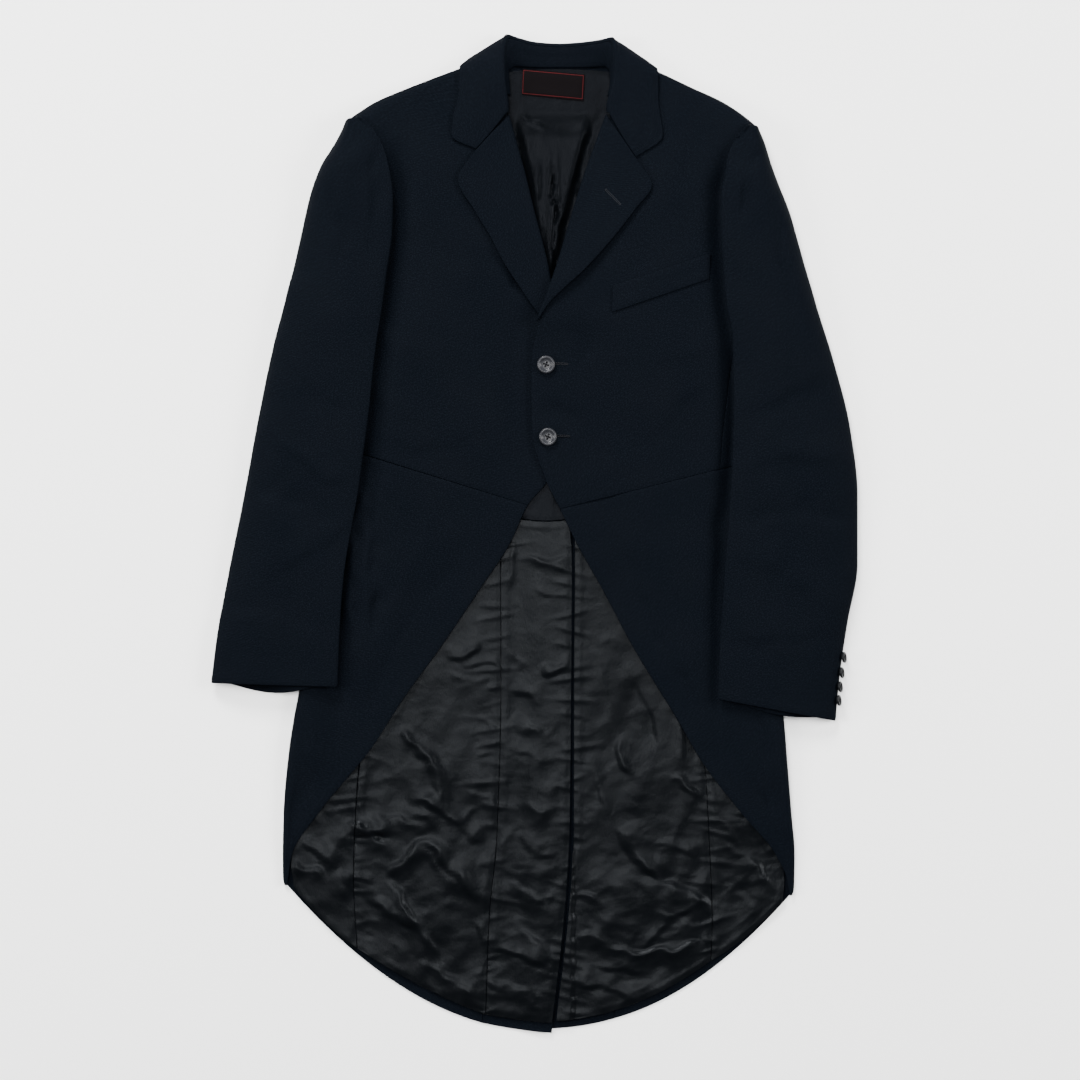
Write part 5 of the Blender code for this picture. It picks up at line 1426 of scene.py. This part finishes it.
def label_finish():
    """Woven label: dark satin ground with a thin red border and nothing else on it."""
    material, shader = new_material("label_satin_weave", "#080607", 0.5, specular_ior_level=0.012)
    node = functools.partial(add, material)
    cloth_place = {"Vector": node("ShaderNodeUVMap", {"uv_map": "weave"}).outputs["UV"]}
    apart = node("ShaderNodeSeparateXYZ", (), cloth_place)
    from_edges = []
    for axis, size in zip("XY", LABEL_SIZE):
        half = size * MM / 2
        centre = node("ShaderNodeMath", {"operation": "SUBTRACT", 1: half}, {0: apart.outputs[axis]})
        away = node("ShaderNodeMath", {"operation": "ABSOLUTE"}, {0: centre.outputs["Value"]})
        from_edge = node("ShaderNodeMath", {"operation": "SUBTRACT", 0: half}, {1: away.outputs["Value"]})
        from_edges.append(from_edge.outputs["Value"])
    nearest = node("ShaderNodeMath", {"operation": "MINIMUM"}, dict(enumerate(from_edges)))
    line_settings = {"operation": "COMPARE", 1: LABEL_LINE_IN * MM, 2: LABEL_LINE * MM}
    line = node("ShaderNodeMath", line_settings, {0: nearest.outputs["Value"]})
    shades = {"data_type": "RGBA", 6: linear("#080607"), 7: linear("#3c1012")}
    shade = node("ShaderNodeMix", shades, {0: line.outputs["Value"]})
    weave = node("ShaderNodeTexNoise", {"Scale": per_metre(LABEL_THREAD)}, cloth_place)
    bump = node("ShaderNodeBump", {"Strength": 0.25, "Distance": 0.1 * MM}, {"Height": weave.outputs["Fac"]})
    material.node_tree.links.new(shade.outputs[2], shader.inputs["Base Color"])
    material.node_tree.links.new(bump.outputs["Normal"], shader.inputs["Normal"])
    return material


def stadium_path(length, width, count=10):
    """A closed path round a slot, its middle at the origin and its length along X."""
    radius = width / 2
    half = length / 2 - radius
    points = []
    for turn in np.linspace(-90, 90, count):
        a = math.radians(turn)
        points.append((half + radius * math.cos(a), radius * math.sin(a)))
    for turn in np.linspace(90, 270, count):
        a = math.radians(turn)
        points.append((-half + radius * math.cos(a), radius * math.sin(a)))
    return points


# A worked buttonhole's cord of stitches, and how high the lapel's lies over the forepart
STITCH_RADIUS = 0.42
STITCH_LIFT = 0.25
BUTTONHOLE_LENGTH = 23
BUTTONHOLE_WIDTH = 1.5
LAPEL_HOLE_LIFT = 2.2


def worked_buttonhole(name, x, y, angle, height_of, finish):
    """A hand-worked buttonhole: a cord of close stitches round a slit."""
    turn = math.radians(angle)
    curve = bpy.data.curves.new(name, "CURVE")
    curve.dimensions = "3D"
    curve.bevel_depth = STITCH_RADIUS * MM
    curve.bevel_resolution = 3
    spline = curve.splines.new("POLY")
    path = stadium_path(BUTTONHOLE_LENGTH, BUTTONHOLE_WIDTH)
    spline.points.add(len(path) - 1)
    spline.use_cyclic_u = True
    for point, (u, v) in zip(spline.points, path):
        px = x + u * math.cos(turn) - v * math.sin(turn)
        py = y + u * math.sin(turn) + v * math.cos(turn)
        at = (np.array([px, py, float(height_of(px, py)) + STITCH_LIFT]) + place_shift) * MM
        point.co = (*at, 1)
    made = bpy.data.objects.new(name + "_curve", curve)
    bpy.context.collection.objects.link(made)
    mesh = bpy.data.meshes.new_from_object(made.evaluated_get(bpy.context.evaluated_depsgraph_get()))
    mesh.name = name
    mesh.materials.clear()
    bpy.data.objects.remove(made)
    mesh.shade_smooth()
    return link_piece(bpy.data.objects.new(name, mesh), finish)


# A button's half section, from the middle of its face round its rim to the middle of its back: shares of its
# radius and of its thickness
BUTTON_PROFILE = (
    (0.0, 0.56), (0.30, 0.56), (0.50, 0.58), (0.60, 0.66), (0.68, 0.84), (0.76, 0.97), (0.84, 1.0),
    (0.92, 0.95), (0.98, 0.78), (1.0, 0.55), (0.96, 0.3), (0.86, 0.12), (0.60, 0.0), (0.0, 0.0),
)
FACE_LEVEL = 0.56

# A button's holes, in shares of its radius, and the strands of thread over them
HOLES = 4
HOLE_OFFSET = 0.27
HOLE_RADIUS = 0.1
HOLE_SPIN = 0.4
HOLE_SIDES = 14
STRAND_SHARES = (-0.32, 0, 0.32)
STRAND_RADIUS = 0.22
STRAND_RISE = 0.14
STRAND_RISE_OVER = 0.3
STRAND_DIP = 2.5
STRAND_SIDES = 6
STRAND_RINGS = 9


def object_of(name, build):
    """A linked object made from a bmesh, which is freed."""
    mesh = bpy.data.meshes.new(name)
    build.to_mesh(mesh)
    build.free()
    obj = bpy.data.objects.new(name, mesh)
    bpy.context.collection.objects.link(obj)
    return obj


def turned_body(name, radius, thick, sides):
    """A button's body, its half section spun round and its poles closed."""
    build = bmesh.new()
    line = [build.verts.new((r * radius * MM, 0, h * thick * MM)) for r, h in BUTTON_PROFILE]
    edges = [build.edges.new(pair) for pair in zip(line, line[1:])]
    bmesh.ops.spin(
        build,
        geom=line + edges,
        cent=(0, 0, 0),
        axis=(0, 0, 1),
        angle=2 * math.pi,
        steps=sides,
        use_merge=True,
    )
    bmesh.ops.remove_doubles(build, verts=build.verts, dist=1e-6)
    bmesh.ops.recalc_face_normals(build, faces=build.faces)
    return object_of(name, build)


def hole_spots(radius):
    """The places of a button's holes."""
    turns = [math.pi / HOLES + k * 2 * math.pi / HOLES + HOLE_SPIN for k in range(HOLES)]
    return [Vector((math.cos(turn), math.sin(turn), 0)) * (HOLE_OFFSET * radius * MM) for turn in turns]


def drilled(body, spots, radius, thick):
    """A button's mesh with its holes through it. Its body and the cutter are removed."""
    holes = bmesh.new()
    for spot in spots:
        bmesh.ops.create_cone(
            holes,
            cap_ends=True,
            segments=HOLE_SIDES,
            radius1=HOLE_RADIUS * radius * MM,
            radius2=HOLE_RADIUS * radius * MM,
            depth=thick * 3 * MM,
            matrix=Matrix.Translation(spot),
        )
    cutter = object_of(body.name + "_holes", holes)
    cut = body.modifiers.new("holes", "BOOLEAN")
    cut.operation = "DIFFERENCE"
    cut.solver = "EXACT"
    cut.object = cutter
    mesh = bpy.data.meshes.new_from_object(body.evaluated_get(bpy.context.evaluated_depsgraph_get()))
    bpy.data.objects.remove(body)
    bpy.data.objects.remove(cutter)
    return mesh


def strand(build, start, end, level, radius, rise):
    """One strand of thread that comes up out of a hole, passes over and goes down into another."""
    along = (end - start).normalized()
    side = along.cross(UP)
    rings = []
    for t in np.linspace(0, 1, STRAND_RINGS):
        dip = radius * STRAND_DIP * (t in (0, 1))
        centre = start.lerp(end, t) + Vector((0, 0, level + rise * math.sin(math.pi * t) - dip))
        ring = [
            build.verts.new(centre + (side * math.cos(a) + UP * math.sin(a)) * radius)
            for a in np.linspace(0, 2 * math.pi, STRAND_SIDES + 1)[:-1]
        ]
        rings.append(ring)
    edges = [[build.edges.new(pair) for pair in zip(ring, ring[1:] + ring[:1])] for ring in rings]
    for lower, upper in zip(edges, edges[1:]):
        bmesh.ops.bridge_loops(build, edges=lower + upper)
    for ring in (rings[0], rings[-1]):
        build.faces.new(ring)


def crossed_thread(spots, radius, thick):
    """A button's sewing thread: three strands each way, crossed over its four holes."""
    build = bmesh.new()
    for a, b in ((0, 2), (1, 3)):
        start, end = spots[a], spots[b]
        across = (end - start).cross(UP).normalized()
        rise = STRAND_RISE * radius * MM * (1 + STRAND_RISE_OVER * a)
        for share in STRAND_SHARES:
            side = across * share * HOLE_RADIUS * 2 * radius * MM
            strand(build, start + side, end + side, FACE_LEVEL * thick * MM, STRAND_RADIUS * MM, rise)
    return build


def turned_button(name, place, radius, thick, axis, sides, horn, thread):
    """A four-hole button turned from horn, with its sewing thread crossed over the holes."""
    turn = Vector((0, 0, 1)).rotation_difference(Vector(axis)).to_matrix().to_4x4()
    where = Matrix.Translation(Vector(np.array(place) + place_shift) * MM) @ turn
    spots = hole_spots(radius)
    mesh = drilled(turned_body(name, radius, thick, sides), spots, radius, thick)
    mesh.transform(where)
    mesh.shade_smooth()
    mesh.set_sharp_from_angle(angle=math.radians(40))
    mesh.name = f"horn_{name}"
    button = link_piece(bpy.data.objects.new(f"horn_{name}", mesh), horn)
    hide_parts(name)

    sewing = crossed_thread(spots, radius, thick)
    sewing.transform(where)
    mesh = bpy.data.meshes.new(f"thread_{name}")
    sewing.to_mesh(mesh)
    sewing.free()
    mesh.shade_smooth()
    link_piece(bpy.data.objects.new(f"thread_{name}", mesh), thread)


def front_buttons(horn, thread):
    for place in FRONT_BUTTONS:
        z = float(upper_height(LEFT, place.x, place.y)) + REST + SEAM
        at = (place.x, place.y, z)
        turned_button(place.name, at, FRONT_BUTTON_RADIUS, FRONT_BUTTON_THICK, UP, FRONT_SIDES, horn, thread)


def cuff_buttons(horn, thread):
    """The left sleeve's buttons on its outer edge, tilted up, and the right sleeve's beneath it."""
    tilt = math.radians(CUFF_BUTTON_TILT)
    outward = (math.cos(tilt), CUFF_BUTTON_LEAN, math.sin(tilt))
    left = [(place, OUTER_ROLL + CUFF_BUTTON_RISE, outward) for place in LEFT_CUFF_BUTTONS]
    right = [(place, CUFF_BUTTON_THICK + REST, -UP) for place in RIGHT_CUFF_BUTTONS]
    for place, z, axis in left + right:
        at = (place.x, place.y, z)
        turned_button(place.name, at, CUFF_BUTTON_RADIUS, CUFF_BUTTON_THICK, axis, CUFF_SIDES, horn, thread)


def buttonholes(thread, grey_thread):
    def on_chest(x, y):
        return upper_height(LEFT, x, y)

    def on_lapel(x, y):
        return upper_height(LEFT, x, y) + ROLL_RADIUS - WOOL / 2 + LAPEL_HOLE_LIFT

    worked_buttonhole("buttonhole_upper", 24, 184, -2, on_chest, thread)
    worked_buttonhole("buttonhole_lower", 26, 106, -2, on_chest, thread)
    worked_buttonhole("lapel_buttonhole", 84, 363, -45, on_lapel, grey_thread)


FLOOR_HALF_SIDE = 20


def stage_floor():
    """A plain pale floor, in metres."""
    build = bmesh.new()
    bmesh.ops.create_grid(build, x_segments=1, y_segments=1, size=FLOOR_HALF_SIDE)
    floor = object_of("floor", build)
    finish, _ = new_material("floor_paper", "#fcfcfb", 0.95)
    floor.data.materials.append(finish)


def soft_light(name, place, size, power):
    """A large soft lamp that looks at the middle of the coat."""
    lamp = bpy.data.lights.new(name, "AREA")
    lamp.shape = "SQUARE"
    lamp.size = size
    lamp.energy = power
    obj = bpy.data.objects.new(name, lamp)
    bpy.context.collection.objects.link(obj)
    obj.location = place
    obj.rotation_euler = (-Vector(place)).to_track_quat("-Z", "Y").to_euler()


def studio():
    """Plain soft light from overhead, from beyond the collar and from both sides, with places in metres."""
    world = bpy.data.worlds.new("studio")
    bpy.context.scene.world = world
    world.use_nodes = True
    background = world.node_tree.nodes["Background"]
    background.inputs["Color"].default_value = (0.95, 0.97, 1, 1)
    background.inputs["Strength"].default_value = 0.34
    soft_light("overhead", (-0.55, 0.8, 4.6), 2.3, 280)
    soft_light("key", (-0.9, 2.7, 1.9), 1.1, 230)
    soft_light("right", (2.7, 0.5, 1.7), 1.3, 150)
    soft_light("left", (-2.8, 0.2, 1.7), 1.3, 120)


# The photograph's side and the point that the coat's drawing starts from, in pixels, and the camera that
# frames it so: its height and reach in metres, the height at which a pixel is MM_PER_PIXEL across, and its
# sensor's width
PHOTO_SIDE = 1080
MM_PER_PIXEL = 1.08
PHOTO_ORIGIN = (535, 534)
CAMERA_HEIGHT = 4.0
CAMERA_REACH = 20
SCALE_HEIGHT = 0.012
SENSOR = 36


def look_down():
    """The camera straight above, framed as the photograph is."""
    camera = bpy.data.cameras.new("camera")
    camera.sensor_width = SENSOR
    across = PHOTO_SIDE * MM_PER_PIXEL * MM
    camera.lens = SENSOR * (CAMERA_HEIGHT - SCALE_HEIGHT) / across
    camera.clip_end = CAMERA_REACH
    obj = bpy.data.objects.new("camera", camera)
    bpy.context.collection.objects.link(obj)
    middle = np.array([PHOTO_SIDE / 2 - PHOTO_ORIGIN[0], PHOTO_ORIGIN[1] - PHOTO_SIDE / 2]) * MM_PER_PIXEL
    obj.location = (*((middle + place_shift[:2]) * MM), CAMERA_HEIGHT)
    bpy.context.scene.camera = obj


def shift_to_frame():
    """What part-drawing places need to land in the frame, read from the upper button's solid."""
    low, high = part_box("front_button_upper")
    middle = (np.array(low) + np.array(high)) / 2 / MM
    place = FRONT_BUTTONS[0]
    return np.array([middle[0] - place.x, middle[1] - place.y, 0])


place_shift = shift_to_frame()


# How high the cloth swells between its creases, and how deep the lining's seams are pressed
CHEST_SWELL = 1.3
HANGING_SWELL = 1.4
LINING_SEAM_DEPTH = 0.06
LABEL_SEAM_DEPTH = 0.3


def wool_pieces(wool):
    """The outer cloth. up_at and down_at are a place in each grid that faces up or down."""

    def sew(node, grid, wall=WOOL, **how):
        dress(node, grid, wall, wool, "wool_barathea", **how)

    def on_chest(x, y):
        return upper_height(LEFT, x, y) + REST + WOOL

    for side in (RIGHT, LEFT):
        tag = word(side)
        chest = body_relief(side, FOREPART_CREASES[side], CHEST_SWELL, 1 + side)
        hang = body_relief(side, SKIRT_CREASES[side], HANGING_SWELL, 4 + side)
        arm = sleeve_relief(SLEEVE_CREASES[side], HANGING_SWELL, 7 + side)
        back = f"back_{tag}"
        forepart = f"forepart_{tag}"
        under_skirt = [back, f"tail_lining_{tag}", f"tail_lining_far_{tag}"]
        under_front = [f"side_body_{tag}", "back_lining"] + (["forepart_right"] if side == LEFT else [])
        under_arm = [f"sleeve_under_{tag}", forepart, f"skirt_{tag}"]
        sew(back, back_grid(side), down_at=(8, 8))
        sew(f"side_body_{tag}", side_body_grid(side), up_at=(3, 0), relief=chest, rests_on=[back])
        sew(f"skirt_{tag}", skirt_grid(side), up_at=(8, 12), relief=hang, rests_on=under_skirt)
        sew(forepart, forepart_grid(side), up_at=(8, 12), relief=chest, rests_on=under_front)
        sew(f"lapel_{tag}", lapel_grid(side), up_at=(20, 18), rests_on=[forepart])
        sew(f"sleeve_top_{tag}", sleeve_top_grid(side), up_at=(23, 24), relief=arm, rests_on=under_arm)
        sew(f"sleeve_under_{tag}", sleeve_under_grid(side), down_at=(20, 3), rests_on=under_arm[1:])
    both_fronts = ["forepart_left", "forepart_right"]
    sew("collar_fall", fall_grid(), COLLAR_CLOTH, up_at=(12, 16), rests_on=both_fronts)
    stand = stand_grid()
    sew("collar_stand", stand, up_at=(len(stand) // 2, 4), rests_on=["back_lining"])
    welt = patch_grid(BREAST_WELT, *WELT_SIZE, WELT_STEP, on_chest)
    chest = body_relief(LEFT, FOREPART_CREASES[LEFT], CHEST_SWELL, 1 + LEFT)
    sew("breast_welt", welt, up_at=(4, 6), relief=chest, rests_on=["forepart_left"])


def lining_pieces(satin, shaded_neck_satin, label):
    """The linings, which lie on the backs, and the label on the back lining."""

    def line(node, grid, finish, relief):
        dress(
            node,
            grid,
            SATIN,
            finish,
            "lining_satin",
            up_at=(12, 6),
            relief=relief,
            depth=LINING_SEAM_DEPTH,
            rests_on=["back_left", "back_right"],
        )

    def on_lining(x, y):
        return lower_top(x, y) + SATIN + LABEL_LIFT + SATIN

    for tag, width in TAIL_LINING_WIDTHS.items():
        name = f"tail_lining_{tag}"
        line(name, lining_grid(TAIL_LINING[name], width), satin, lining_relief)
    # The back lining takes the dimmer copy of the satin, which paints shade on it
    line("back_lining", lining_grid(BACK_LINING, BACK_LINING_WIDTH), shaded_neck_satin, neck_lining_relief)
    tag = patch_grid(WOVEN_LABEL, *LABEL_SIZE, LABEL_STEP, on_lining)
    how = {"up_at": (2, 4), "depth": LABEL_SEAM_DEPTH, "rests_on": ["back_lining"]}
    dress("woven_label", tag, SATIN, label, "label_weave", **how)


def main():
    wool_pieces(wool_finish())
    tail_satin = satin_finish("tail_lining_satin", 0.08, "#d3d8de")
    # The back lining's satin is the tail lining's satin with less than half its shine and a cooler tint: a
    # dimmer copy that paints shade on the neck, which lies deep under the collar
    shaded_neck_satin = satin_finish("shaded_neck_lining_satin", 0.036, "#c4c9d8")
    lining_pieces(tail_satin, shaded_neck_satin, label_finish())
    black_thread = thread_finish("black_silk_twist", "#0b0c10")
    front_buttons(horn_finish("polished_horn", "#0e0f11", "#2c2d31", 0.16), black_thread)
    # The cuff buttons' horn is a darker, less glossy copy of the front buttons' horn: painted shade
    cuff_buttons(horn_finish("shaded_polished_horn", "#060708", "#101114", 0.07), black_thread)
    buttonholes(black_thread, thread_finish("grey_silk_twist", "#121418"))
    stage_floor()
    studio()
    look_down()


main()
